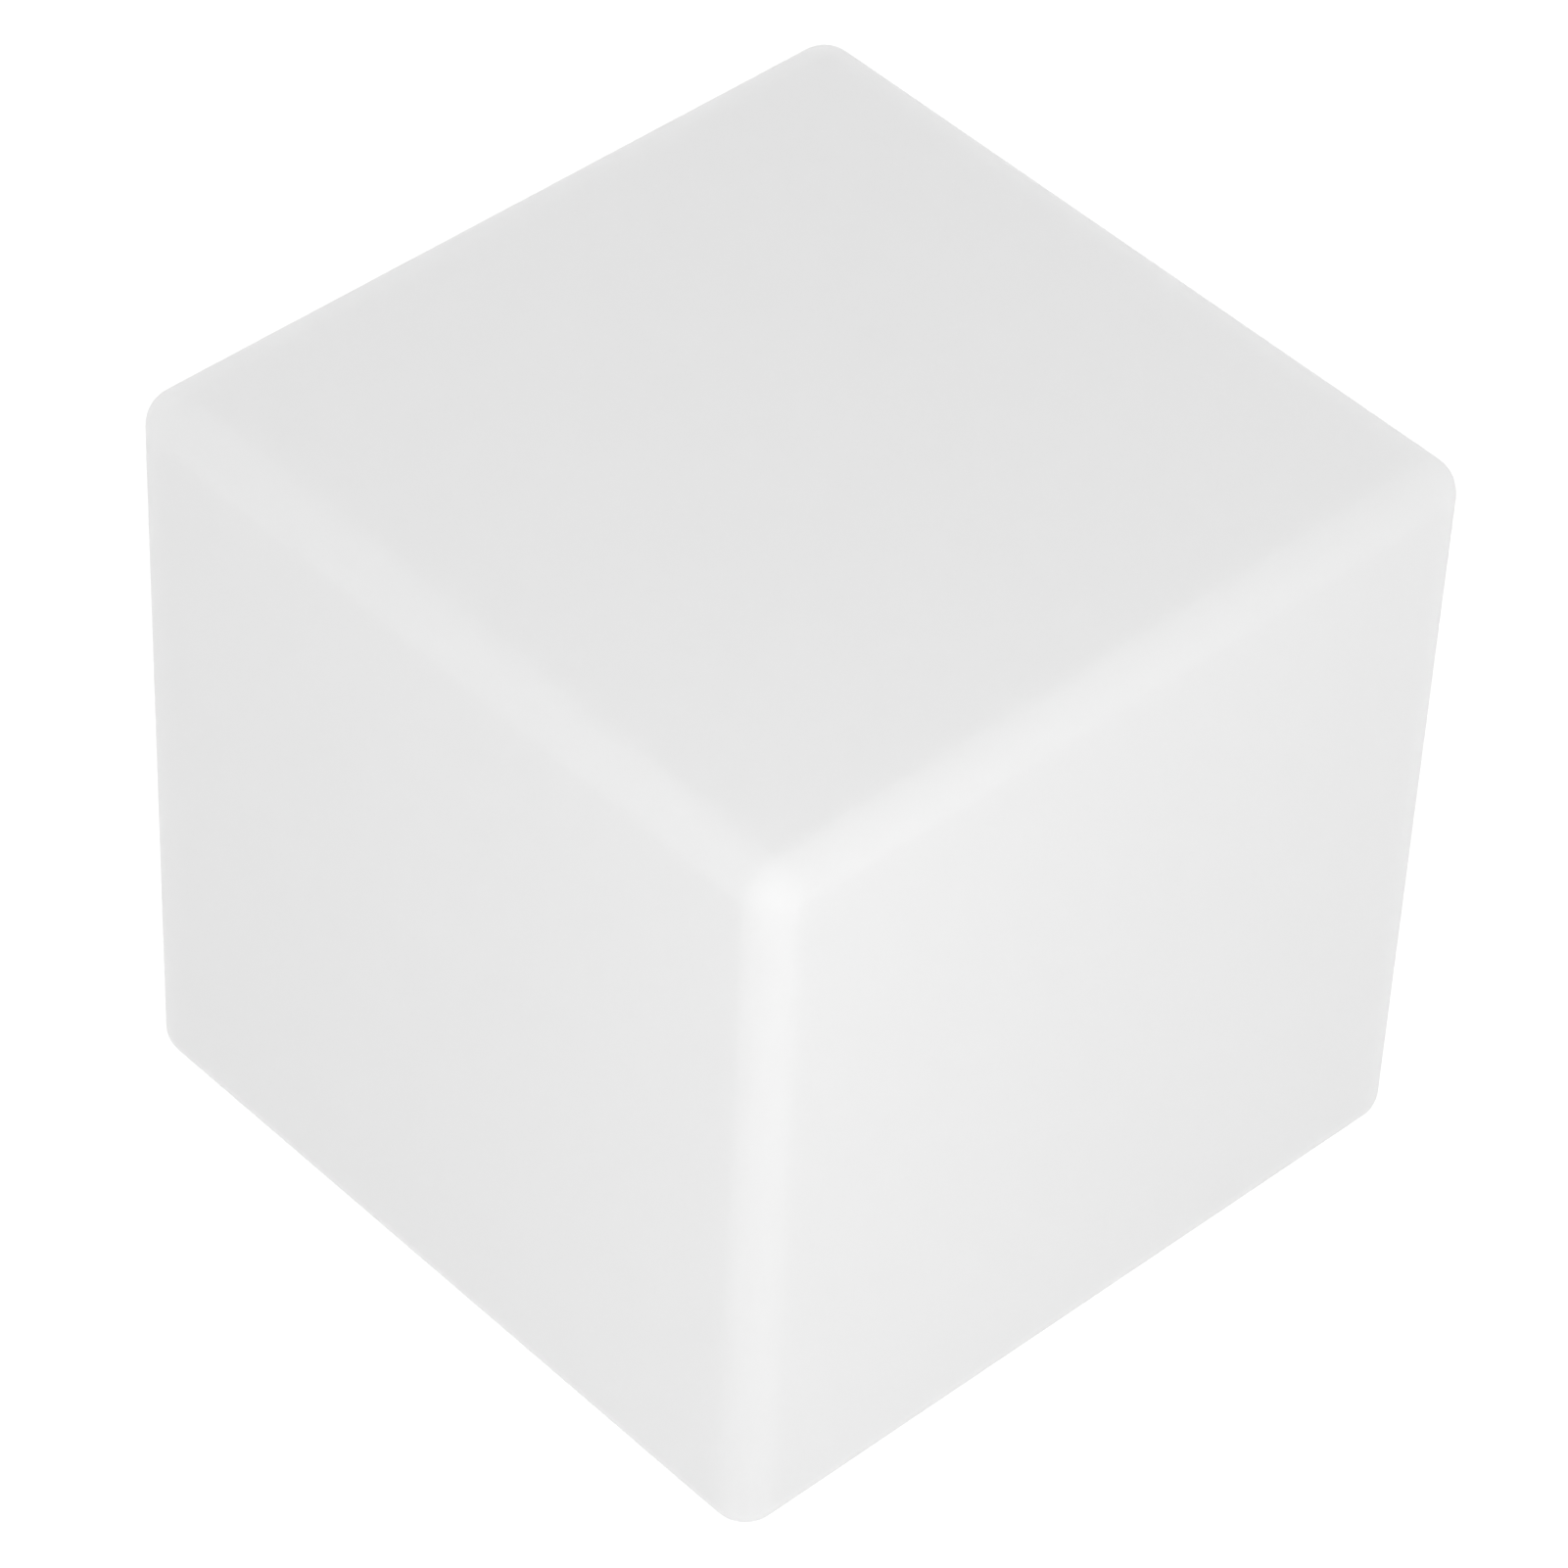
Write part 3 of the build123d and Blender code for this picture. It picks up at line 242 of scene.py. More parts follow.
# Where a point lies on a square with rounded corners, by its number round it. Corner is
# how far the corners' centres are from the middle along x and y, so 0 makes a circle.
rounded_square = Form("rounded square", ["Number", "Steps", "Corner", "Radius", "Height"], "Vector")
size = rounded_square.size
points_a_quarter = rounded_square.plus(size["Steps"], 1.0)
quarters = calc(rounded_square.tree, "DIVIDE", size["Number"], points_a_quarter)
quarter = calc(rounded_square.tree, "FLOOR", quarters)
step = rounded_square.minus(size["Number"], rounded_square.times(quarter, points_a_quarter))
part_of_quarter = calc(rounded_square.tree, "DIVIDE", step, size["Steps"])
to_point = rounded_square.times(rounded_square.plus(quarter, part_of_quarter), quarter_turn)
to_corner = rounded_square.times(rounded_square.plus(quarter, 0.5), quarter_turn)
corner_distance = rounded_square.times(size["Corner"], 2**0.5)
place = {"Z": size["Height"]}
for axis, trace in (("X", "COSINE"), ("Y", "SINE")):
    from_corner = rounded_square.times(calc(rounded_square.tree, trace, to_point), size["Radius"])
    corner_place = rounded_square.times(calc(rounded_square.tree, trace, to_corner), corner_distance)
    place[axis] = rounded_square.plus(from_corner, corner_place)
rounded_square.gives(rounded_square.put("ShaderNodeCombineXYZ", {}, place)[0])

# A wall round a rounded square, with a rolled edge at its foot and another at its head.
# A reach is how far that edge rolls, outwards or, below zero, inwards.
rolled_wall = Form(
    "rolled wall", ["Steps", "Corner", "Radius", "Foot Reach", "Foot Height", "Head Height", "Head Reach"]
)
size = rolled_wall.size
roll_steps = 12
rows = 2 * (roll_steps + 1)
number = rolled_wall.put("GeometryNodeInputIndex")[0]
column = calc(rolled_wall.tree, "FLOOR", calc(rolled_wall.tree, "DIVIDE", number, rows))
row = rolled_wall.minus(number, rolled_wall.times(column, rows))
at_head = calc(rolled_wall.tree, "GREATER_THAN", row, roll_steps + 0.5)
rolled = rolled_wall.times(calc(rolled_wall.tree, "MODULO", row, roll_steps + 1), quarter_turn / roll_steps)
sine_left = rolled_wall.minus(1.0, calc(rolled_wall.tree, "SINE", rolled))
cosine_left = rolled_wall.minus(1.0, calc(rolled_wall.tree, "COSINE", rolled))
foot_rise = rolled_wall.times(calc(rolled_wall.tree, "ABSOLUTE", size["Foot Reach"]), cosine_left)
head_fall = rolled_wall.times(calc(rolled_wall.tree, "ABSOLUTE", size["Head Reach"]), sine_left)
outward = {
    "Switch": at_head,
    "False": rolled_wall.times(size["Foot Reach"], sine_left),
    "True": rolled_wall.times(size["Head Reach"], cosine_left),
}
upward = {
    "Switch": at_head,
    "False": rolled_wall.plus(size["Foot Height"], foot_rise),
    "True": rolled_wall.minus(size["Head Height"], head_fall),
}
outward = rolled_wall.put("GeometryNodeSwitch", {"input_type": "FLOAT"}, outward)[0]
upward = rolled_wall.put("GeometryNodeSwitch", {"input_type": "FLOAT"}, upward)[0]
place = {
    "Number": column,
    "Steps": size["Steps"],
    "Corner": size["Corner"],
    "Radius": rolled_wall.plus(size["Radius"], outward),
    "Height": upward,
}
columns = rolled_wall.plus(rolled_wall.times(size["Steps"], 4.0), 5.0)
flat = rolled_wall.put("GeometryNodeMeshGrid", {}, {"Vertices X": columns, "Vertices Y": rows})[0]
stood_up = {"Geometry": flat, "Position": rolled_wall.use(rounded_square, place)}
rolled_wall.gives(rolled_wall.put("GeometryNodeSetPosition", {}, stood_up)[0])

# One skin of the moulding. Inset takes it into the plastic: 0 is the outside, and the
# wall's thickness gives the inside.
shell_sizes = {
    "Width": 0.300, "Base": 0.002, "Height": 0.290, "Edge Radius": 0.013, "Bottom Radius": 0.010,
    "Well Radius": 0.076, "Well Depth": 0.012, "Mouth Radius": 0.004, "Root Radius": 0.002,
    "Hole Radius": 0.058, "Pad Radius": 0.0113, "Pad Depth": 0.0012, "Pad Spacing": 0.224,
    "Insert Radius": 0.00355, "Insert Top": 0.0236, "Insert Circle Radius": 0.067,
}
insert_count = 6
edge_steps, well_steps, pad_steps, insert_steps = 12, 24, 12, 8
skin = Form("moulded skin", [*shell_sizes, "Inset"])
size = skin.size
inset = size["Inset"]
width = skin.minus(size["Width"], skin.times(inset, 2.0))
low = skin.plus(size["Base"], inset)
high = skin.minus(skin.plus(size["Base"], size["Height"]), inset)
edge = skin.minus(size["Edge Radius"], inset)
bottom = skin.minus(size["Bottom Radius"], inset)
corner = skin.minus(skin.times(width, 0.5), edge)
well = skin.plus(size["Well Radius"], inset)
roof = skin.plus(skin.plus(size["Base"], size["Well Depth"]), inset)
mouth = skin.minus(size["Mouth Radius"], inset)
root = skin.plus(size["Root Radius"], inset)
pad = skin.plus(size["Pad Radius"], inset)
pad_top = skin.plus(low, size["Pad Depth"])
pad_ring = skin.circle(pad, pad_steps)
pad_pocket = skin.joined(skin.wall(pad, pad_steps, low, pad_top), skin.level_face(pad_top, pad_ring))
pad_points = skin.square_points(size["Pad Spacing"])
insert_ring = skin.circle(size["Insert Radius"], insert_steps)
insert_pocket = skin.joined(
    skin.wall(size["Insert Radius"], insert_steps, roof, size["Insert Top"]),
    skin.level_face(size["Insert Top"], insert_ring),
)
insert_points = skin.ring_points(insert_count, size["Insert Circle Radius"])
skin.gives(
    skin.joined(
        skin.wall(edge, edge_steps, low, high, skin.times(bottom, -1.0), skin.times(edge, -1.0), corner),
        skin.level_face(high, skin.square(corner, 0.0, edge_steps)),
        skin.level_face(
            low,
            skin.square(corner, skin.minus(edge, bottom), edge_steps),
            skin.circle(skin.plus(well, mouth), well_steps),
            skin.repeated(pad_ring, pad_points),
        ),
        skin.wall(well, well_steps, low, roof, mouth, skin.times(root, -1.0)),
        skin.level_face(
            roof,
            skin.circle(skin.minus(well, root), well_steps),
            skin.circle(size["Hole Radius"], well_steps),
            skin.repeated(insert_ring, insert_points),
        ),
        skin.repeated(pad_pocket, pad_points),
        skin.repeated(insert_pocket, insert_points),
    )
)

# The two skins meet at the rim of the hole. Inside, bosses stand round the inserts.
wall_sizes = {"Wall": 0.0035, "Boss Wall": 0.003}
moulding = Form("cube shell", [*shell_sizes, *wall_sizes])
size = moulding.size
outer_skin = {name: size[name] for name in shell_sizes}
inner_skin = dict(outer_skin)
inner_skin["Inset"] = size["Wall"]
for name in ("Insert Radius", "Insert Top"):
    inner_skin[name] = moulding.plus(size[name], size["Boss Wall"])
roof = moulding.plus(size["Base"], size["Well Depth"])
rim = moulding.wall(size["Hole Radius"], well_steps, roof, moulding.plus(roof, size["Wall"]))
both_skins = moulding.joined(moulding.use(skin, outer_skin), moulding.use(skin, inner_skin), rim)
milky = bpy.data.materials.new("milky polyethylene")
moulding.gives(moulding.made_of(moulding.welded(both_skins), milky))


def grown(name, form, sizes, sharp_angle):
    """The piece that a form makes at these sizes, as a plain mesh shaded up to its sharp edges."""
    seed = bpy.data.objects.new(name, bpy.data.meshes.new(name))
    scene.collection.objects.link(seed)
    modifier = seed.modifiers.new("form", "NODES")
    modifier.node_group = form.tree
    for item in form.tree.interface.items_tree:
        if item.in_out == "INPUT":
            modifier[item.identifier] = sizes[item.name]
    evaluated = seed.evaluated_get(bpy.context.evaluated_depsgraph_get())
    mesh = bpy.data.meshes.new_from_object(evaluated)
    seed.modifiers.remove(modifier)
    seed.data = mesh
    work = bmesh.new()
    work.from_mesh(mesh)
    bmesh.ops.remove_doubles(work, verts=work.verts, dist=weld_distance)
    bmesh.ops.recalc_face_normals(work, faces=work.faces)
    for face in work.faces:
        face.smooth = True
    for line in work.edges:
        line.smooth = len(line.link_faces) == 2 and line.calc_face_angle() < sharp_angle
    work.to_mesh(mesh)
    work.free()
    even = seed.modifiers.new("even shading", "WEIGHTED_NORMAL")
    even.keep_sharp = True
    return seed


shell = grown("shell_moulding", moulding, {**shell_sizes, **wall_sizes}, sharp_angle=radians(35))
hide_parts("cube_shell")
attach(shell, "cube")

# The look that moulded, cast and rubber surfaces share: a slow drift in tone and gloss,
# and a fine grain that stands up from the surface.
moulded_grain = bpy.data.node_groups.new("moulded grain", "ShaderNodeTree")
for name in ("Roughness", "Drift", "Drift Length", "Grain Length", "Grain Height"):
    moulded_grain.interface.new_socket(name, in_out="INPUT", socket_type="NodeSocketFloat")
moulded_grain.interface.new_socket("Color", in_out="INPUT", socket_type="NodeSocketColor")
for name, kind in (("Color", "Color"), ("Roughness", "Float"), ("Normal", "Vector")):
    moulded_grain.interface.new_socket(name, in_out="OUTPUT", socket_type="NodeSocket" + kind)
given = put(moulded_grain, "NodeGroupInput")
spot = put(moulded_grain, "ShaderNodeTexCoord")["Object"]
slow = {"Vector": spot, "Scale": calc(moulded_grain, "DIVIDE", 1.0, given["Drift Length"]), "Detail": 3.0}
fine = {"Vector": spot, "Scale": calc(moulded_grain, "DIVIDE", 1.0, given["Grain Length"]), "Detail": 2.0}
drift = calc(moulded_grain, "SUBTRACT", put(moulded_grain, "ShaderNodeTexNoise", {}, slow)[0], 0.5)
drift = calc(moulded_grain, "MULTIPLY", drift, given["Drift"])
toned = {"Color": given["Color"], "Value": calc(moulded_grain, "ADD", drift, 1.0)}
grain = {"Height": put(moulded_grain, "ShaderNodeTexNoise", {}, fine)[0], "Distance": given["Grain Height"]}
finish = {
    "Color": put(moulded_grain, "ShaderNodeHueSaturation", {}, toned)[0],
    "Roughness": calc(moulded_grain, "ADD", given["Roughness"], drift),
    "Normal": put(moulded_grain, "ShaderNodeBump", {}, grain)[0],
}
put(moulded_grain, "NodeGroupOutput", {}, finish)


def surfaced(material, color, roughness, drift, drift_length, grain_length, grain_height, **fixed):
    """Gives a material the moulded grain. What is fixed is the same all over the surface."""
    material.use_nodes = True
    tree = material.node_tree
    shader = tree.nodes["Principled BSDF"]
    look = {
        "Color": (*color, 1),
        "Roughness": roughness,
        "Drift": drift,
        "Drift Length": drift_length,
        "Grain Length": grain_length,
        "Grain Height": grain_height,
    }
    grained = put(tree, "ShaderNodeGroup", {"node_tree": moulded_grain}, look)
    tree.links.new(grained["Color"], shader.inputs["Base Color"])
    tree.links.new(grained["Roughness"], shader.inputs["Roughness"])
    tree.links.new(grained["Normal"], shader.inputs["Normal"])
    for name, value in fixed.items():
        shader.inputs[name.replace("_", " ").title().replace("Ior", "IOR")].default_value = value
    return material


surfaced(
    milky, (0.93, 0.93, 0.93),
    roughness=0.55, drift=0.012, drift_length=0.09, grain_length=0.0011, grain_height=0.00002,
    subsurface_weight=1.0, subsurface_radius=(1, 1, 1), subsurface_scale=0.008, specular_ior_level=0.20,
)

# A few dark grains are caught in the plastic, far apart and under half a millimetre wide.
grains_a_metre = 22.0
share_of_places = 0.10
grain_radius = 0.009  # of the distance between two places
grain_color = (0.45, 0.44, 0.42, 1)
tree = milky.node_tree
milky_color = tree.nodes["Principled BSDF"].inputs["Base Color"]
spot = put(tree, "ShaderNodeTexCoord")["Object"]
places = put(tree, "ShaderNodeTexVoronoi", {}, {"Vector": spot, "Scale": grains_a_metre})
drawn_lot = put(tree, "ShaderNodeSeparateColor", {}, {"Color": places["Color"]})[0]
rare = calc(tree, "LESS_THAN", drawn_lot, share_of_places)
tiny = calc(tree, "LESS_THAN", places["Distance"], grain_radius)
specked = {0: calc(tree, "MULTIPLY", rare, tiny), 6: milky_color.links[0].from_socket, 7: grain_color}
tree.links.new(put(tree, "ShaderNodeMix", {"data_type": "RGBA"}, specked)[2], milky_color)

# ------------------------------------------------------------------------- foot pads
# Four round pads of pale grey rubber, pressed into shallow pockets of the underside. A
# ring groove is moulded into each foot so that it grips.
pad_sizes = {
    "Radius": 0.011, "Height": 0.0032, "Edge Radius": 0.001, "Spacing": 0.224,
    "Groove Radius": 0.0075, "Groove Width": 0.0016, "Groove Depth": 0.0006,
}
pads = Form("foot pads", list(pad_sizes))
size = pads.size
groove_inside = pads.minus(size["Groove Radius"], size["Groove Width"])
outer_ring = pads.circle(pads.minus(size["Radius"], size["Edge Radius"]), pad_steps)
groove_rings = [pads.circle(radius, pad_steps) for radius in (size["Groove Radius"], groove_inside)]
one_pad = pads.joined(
    pads.wall(size["Radius"], pad_steps, 0.0, size["Height"], pads.times(size["Edge Radius"], -1.0)),
    pads.level_face(size["Height"], pads.circle(size["Radius"], pad_steps)),
    pads.level_face(0.0, outer_ring, groove_rings[0]),
    pads.wall(size["Groove Radius"], pad_steps, 0.0, size["Groove Depth"]),
    pads.level_face(size["Groove Depth"], *groove_rings),
    pads.wall(groove_inside, pad_steps, 0.0, size["Groove Depth"]),
    pads.level_face(0.0, groove_rings[1]),
)
pale_rubber = surfaced(
    bpy.data.materials.new("pale grey rubber"), (0.62, 0.62, 0.60),
    roughness=0.78, drift=0.10, drift_length=0.012, grain_length=0.0004, grain_height=0.00003,
)
all_pads = pads.repeated(pads.welded(one_pad), pads.square_points(size["Spacing"]))
pads.gives(pads.made_of(all_pads, pale_rubber))
pad_piece = grown("grip_pads", pads, pad_sizes, sharp_angle=radians(35))
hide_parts("foot_pads")
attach(pad_piece, "cube")

# -------------------------------------------------------------------- thread inserts
# Brass bushes with a turned waist, set into the mould before the shell so that the
# plastic flows round them and holds them.


def dress(material, *names):
    """Gives a material to whole nodes of the frame."""
    for name in names:
        for material_slot in nodes[name].material_slots:
            material_slot.material = material


turned_brass = surfaced(
    bpy.data.materials.new("turned brass"), (0.62, 0.42, 0.16),
    roughness=0.32, drift=0.12, drift_length=0.004, grain_length=0.0003, grain_height=0.00001,
    metallic=1.0,
)
dress(turned_brass, "thread_inserts")

# ---------------------------------------------------------------------- unit housing
# The light unit's flanged cup, moulded in white ABS with a spark-eroded, finely matt
# outside. Its lower face closes the well and carries everything that is touched.
abs_plastic = surfaced(
    bpy.data.materials.new("satin white ABS"), (0.80, 0.80, 0.79),
    roughness=0.50, drift=0.05, drift_length=0.03, grain_length=0.00045, grain_height=0.00003,
)
dress(abs_plastic, "unit_housing")

# ----------------------------------------------------------------- seals and O-ring
# Moulded rings of dark rubber: under the flange, at the charging socket, under the
# dome and in the push button's groove.
seal_rubber = surfaced(
    bpy.data.materials.new("dark rubber"), (0.030, 0.031, 0.033),
    roughness=0.65, drift=0.25, drift_length=0.006, grain_length=0.0003, grain_height=0.00002,
)
dress(seal_rubber, "flange_seal", "socket_seal", "dome_seal", "button_ring")

# --------------------------------------------------------------------- flange screws
# Six stainless M4 screws with a cross drive and rolled threads, put in from below
# through the flange into the brass bushes.
screw_sizes = {
    "Face": 0.0092, "Head Radius": 0.004, "Head Height": 0.0024, "Head Edge": 0.0006,
    "Cross Length": 0.0048, "Cross Width": 0.0011, "Cross Depth": 0.00132,
    "Shank Radius": 0.00192, "Shank Length": 0.011, "Point": 0.0005,
    "Thread Height": 0.00016, "Thread Pitch": 0.0007, "Circle Radius": 0.067,
}
head_steps, thread_steps, ridge_corners = 10, 16, 3
screws = Form("flange screws", list(screw_sizes))
size = screws.size
seat = screws.plus(size["Face"], size["Head Height"])
tip = screws.plus(seat, size["Shank Length"])
face_ring = screws.circle(screws.minus(size["Head Radius"], size["Head Edge"]), head_steps)

# The cross drive's outline has three points a quarter: two at an arm's end, one in the corner.
cross_points = 3
number = screws.put("GeometryNodeInputIndex")[0]
quarter = calc(screws.tree, "FLOOR", calc(screws.tree, "DIVIDE", number, cross_points))
point = calc(screws.tree, "MODULO", number, cross_points)
in_corner = calc(screws.tree, "GREATER_THAN", point, cross_points / 2)
half_arm = calc(screws.tree, "ARCTAN2", size["Cross Width"], size["Cross Length"])
arm_end = [screws.times(size[name], size[name]) for name in ("Cross Length", "Cross Width")]
arm_end = screws.times(calc(screws.tree, "SQRT", screws.plus(*arm_end)), 0.5)
corner_end = screws.times(size["Cross Width"], 0.5 * 2**0.5)
left_or_right = screws.minus(screws.times(point, 2.0), 1.0)
turn = {"Switch": in_corner, "False": screws.times(half_arm, left_or_right), "True": pi / 4}
turn = screws.put("GeometryNodeSwitch", {"input_type": "FLOAT"}, turn)[0]
turn = screws.plus(turn, screws.times(quarter, quarter_turn))
reach = {"Switch": in_corner, "False": arm_end, "True": corner_end}
reach = screws.put("GeometryNodeSwitch", {"input_type": "FLOAT"}, reach)[0]
place = {"X": calc(screws.tree, "COSINE", turn), "Y": calc(screws.tree, "SINE", turn)}
place = {axis: screws.times(reach, share) for axis, share in place.items()}
place = screws.put("ShaderNodeCombineXYZ", {}, place)[0]
cross = {"Geometry": screws.circle(1.0, cross_points), "Position": place}
cross = screws.put("GeometryNodeSetPosition", {}, cross)[0]
recess = {
    "Mesh": screws.level_face(size["Face"], cross),
    "Offset": (0, 0, 1),
    "Offset Scale": size["Cross Depth"],
    "Individual": False,
}
recess = screws.put("GeometryNodeExtrudeMesh", {}, recess)[0]
head = screws.joined(
    screws.wall(size["Head Radius"], head_steps, size["Face"], seat, screws.times(size["Head Edge"], -1.0)),
    screws.level_face(size["Face"], face_ring, cross),
    recess,
    screws.level_face(seat, screws.circle(size["Head Radius"], head_steps)),
)
shank = screws.joined(
    screws.wall(size["Shank Radius"], head_steps, seat, tip, 0.0, screws.times(size["Point"], -1.0)),
    screws.level_face(tip, screws.circle(screws.minus(size["Shank Radius"], size["Point"]), head_steps)),
)
thread_length = screws.minus(size["Shank Length"], screws.times(size["Point"], 2.0))
turns = calc(screws.tree, "DIVIDE", thread_length, size["Thread Pitch"])
helix = {
    "Resolution": thread_steps,
    "Rotations": turns,
    "Start Radius": size["Shank Radius"],
    "End Radius": size["Shank Radius"],
    "Height": thread_length,
    "Reverse": True,
}
helix = screws.put("GeometryNodeCurveSpiral", {}, helix)[0]
ridge = {"Resolution": ridge_corners, "Radius": size["Thread Height"]}
ridge = {"Curve": helix, "Profile Curve": screws.put("GeometryNodeCurvePrimitiveCircle", {}, ridge)[0]}
thread = screws.lifted(screws.put("GeometryNodeCurveToMesh", {}, ridge)[0], screws.plus(seat, size["Point"]))
stainless = surfaced(
    bpy.data.materials.new("stainless steel"), (0.56, 0.56, 0.55),
    roughness=0.30, drift=0.10, drift_length=0.003, grain_length=0.0002, grain_height=0.000006,
    metallic=1.0,
)
one_screw = screws.joined(screws.welded(head), screws.welded(shank), thread)
all_screws = screws.repeated(one_screw, screws.ring_points(insert_count, size["Circle Radius"]))
screws.gives(screws.made_of(all_screws, stainless))
screw_piece = grown("cross_drive_screws", screws, screw_sizes, sharp_angle=radians(30))
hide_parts("flange_screws")
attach(screw_piece, "cube")

# ------------------------------------------------------------------- the other screws
# Smaller steel screws cut their own threads in the plastic posts. They hold the control
# board, the battery cradle, the cells' clamp and the LED board.
dress(stainless, "board_screws", "cradle_screws", "clamp_screws", "led_board_screws")

# ----------------------------------------------------------------------- push button
# A cap of pale grey ABS with a dished face, in a running fit through the panel. Its
# stem lifts the black peg of the switch.
button_plastic = surfaced(
    bpy.data.materials.new("pale grey ABS"), (0.50, 0.50, 0.50),
    roughness=0.42, drift=0.05, drift_length=0.01, grain_length=0.0004, grain_height=0.00002,
)
dress(button_plastic, "power_button")
black_plastic = surfaced(
    bpy.data.materials.new("black plastic"), (0.018, 0.018, 0.020),
    roughness=0.38, drift=0.20, drift_length=0.008, grain_length=0.0004, grain_height=0.00002,
)
dress(black_plastic, "switch_plunger", "switch_body")
drawn_wire = surfaced(
    bpy.data.materials.new("drawn spring wire"), (0.58, 0.57, 0.55),
    roughness=0.28, drift=0.14, drift_length=0.002, grain_length=0.0002, grain_height=0.000005,
    metallic=1.0,
)

# The return spring sits between the button's collar and the switch, which squeeze it as the button rises. It
# is made once, at the length of its part, and stays with the cube.
spring_low, spring_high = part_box("button_spring")
spring_wire = 0.0005
spring_sizes = {
    "Wire Radius": spring_wire / 2,
    "Coil Radius": (spring_high.y - spring_low.y - spring_wire) / 2,
    "Turns": 4.0,
    "Start": spring_low.z + spring_wire / 2,
    "Rise": spring_high.z - spring_low.z - spring_wire,
    "Button X": (spring_low.x + spring_high.x) / 2,
}
coil_steps, wire_steps = 32, 3
spring = Form("return spring", list(spring_sizes))
size = spring.size
coil = {
    "Resolution": coil_steps,
    "Rotations": size["Turns"],
    "Start Radius": size["Coil Radius"],
    "End Radius": size["Coil Radius"],
    "Height": size["Rise"],
    "Reverse": True,
}
coil = {
    "Curve": spring.put("GeometryNodeCurveSpiral", {}, coil)[0],
    "Profile Curve": spring.circle(size["Wire Radius"], wire_steps),
    "Fill Caps": True,
}
coil = spring.put("GeometryNodeCurveToMesh", {}, coil)[0]
place = spring.put("ShaderNodeCombineXYZ", {}, {"X": size["Button X"], "Z": size["Start"]})[0]
coil = spring.put("GeometryNodeTransform", {}, {"Geometry": coil, "Translation": place})[0]
spring.gives(spring.made_of(coil, drawn_wire))
spring_piece = grown("return_spring", spring, spring_sizes, sharp_angle=radians(50))
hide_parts("button_spring")
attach(spring_piece, "cube")
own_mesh(spring_piece)

# --------------------------------------------------------- charging socket and its cap
# A black socket with a nickel-plated pin, closed by a silicone cap. The cap's strap
# turns at its root, next to the tab that is pegged through the panel.
dress(black_plastic, "charge_socket")
nickel = surfaced(
    bpy.data.materials.new("nickel plate"), (0.60, 0.57, 0.50),
    roughness=0.25, drift=0.10, drift_length=0.004, grain_length=0.0003, grain_height=0.000006,
    metallic=1.0,
)
dress(nickel, "socket_pin")
silicone = surfaced(
    bpy.data.materials.new("grey silicone"), (0.38, 0.38, 0.38),
    roughness=0.60, drift=0.08, drift_length=0.008, grain_length=0.0003, grain_height=0.00002,
    subsurface_weight=0.2, subsurface_radius=(1, 1, 1), subsurface_scale=0.001,
)
dress(silicone, "port_cap", "cap_anchor")

# The strap and the tab are one moulding in silicone: this thin web joins them where the strap bends. It is
# made straight and does not move.
web_sizes = {
    "Hinge X": 0.034, "Hinge Z": 0.0099, "Into Strap": 0.0005, "Into Tab": 0.0019,
    "Width": 0.0054, "Thickness": 0.0005,
}
web_steps = 16
web = Form("strap web", list(web_sizes))
size = web.size
block = {"X": web.plus(size["Into Strap"], size["Into Tab"]), "Y": size["Width"], "Z": size["Thickness"]}
block = {"Size": web.put("ShaderNodeCombineXYZ", {}, block)[0], "Vertices X": web_steps + 1}
block = web.put("GeometryNodeMeshCube", {}, block)[0]
middle = web.times(web.minus(size["Into Tab"], size["Into Strap"]), 0.5)
place = web.put("ShaderNodeCombineXYZ", {}, {"X": web.plus(size["Hinge X"], middle), "Z": size["Hinge Z"]})[0]
placed = web.put("GeometryNodeTransform", {}, {"Geometry": block, "Translation": place})[0]
web.gives(web.made_of(placed, silicone))
web_piece = grown("strap_web", web, web_sizes, sharp_angle=radians(35))
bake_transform(web_piece)

# ------------------------------------------------------------- light pipe, indicator
# A short rod of clear acrylic, pushed into the panel from inside, takes the light of a
# frosted 3 mm LED under the board to the panel's face.
acrylic = surfaced(
    bpy.data.materials.new("clear acrylic"), (0.95, 0.97, 0.97),
    roughness=0.10, drift=0.04, drift_length=0.004, grain_length=0.0006, grain_height=0.000004,
    transmission_weight=1.0, ior=1.49,
)
dress(acrylic, "light_pipe")
frosted_lens = surfaced(
    bpy.data.materials.new("frosted lens"), (0.80, 0.88, 0.82),
    roughness=0.35, drift=0.06, drift_length=0.003, grain_length=0.0003, grain_height=0.000008,
    transmission_weight=0.6, ior=1.5,
)
dress(frosted_lens, "indicator_led")

# --------------------------------------------------------------------- control board
# Glass-fibre board under green solder mask, with its chips, a ferrite inductor, two
# can capacitors, and nylon headers and plugs for the leads.
solder_mask = surfaced(
    bpy.data.materials.new("green solder mask"), (0.008, 0.085, 0.026),
    roughness=0.30, drift=0.30, drift_length=0.004, grain_length=0.0009, grain_height=0.00002,
)
dress(solder_mask, "control_board")
epoxy = surfaced(
    bpy.data.materials.new("moulded epoxy"), (0.014, 0.014, 0.015),
    roughness=0.55, drift=0.20, drift_length=0.003, grain_length=0.0003, grain_height=0.00002,
)
dress(epoxy, "control_chips")
ferrite = surfaced(
    bpy.data.materials.new("ferrite"), (0.035, 0.035, 0.037),
    roughness=0.62, drift=0.30, drift_length=0.002, grain_length=0.0004, grain_height=0.00004,
)
dress(ferrite, "power_inductor")
bright_can = surfaced(
    bpy.data.materials.new("drawn aluminium"), (0.64, 0.64, 0.66),
    roughness=0.25, drift=0.10, drift_length=0.003, grain_length=0.0002, grain_height=0.000004,
    metallic=1.0,
)
dress(bright_can, "board_capacitors")
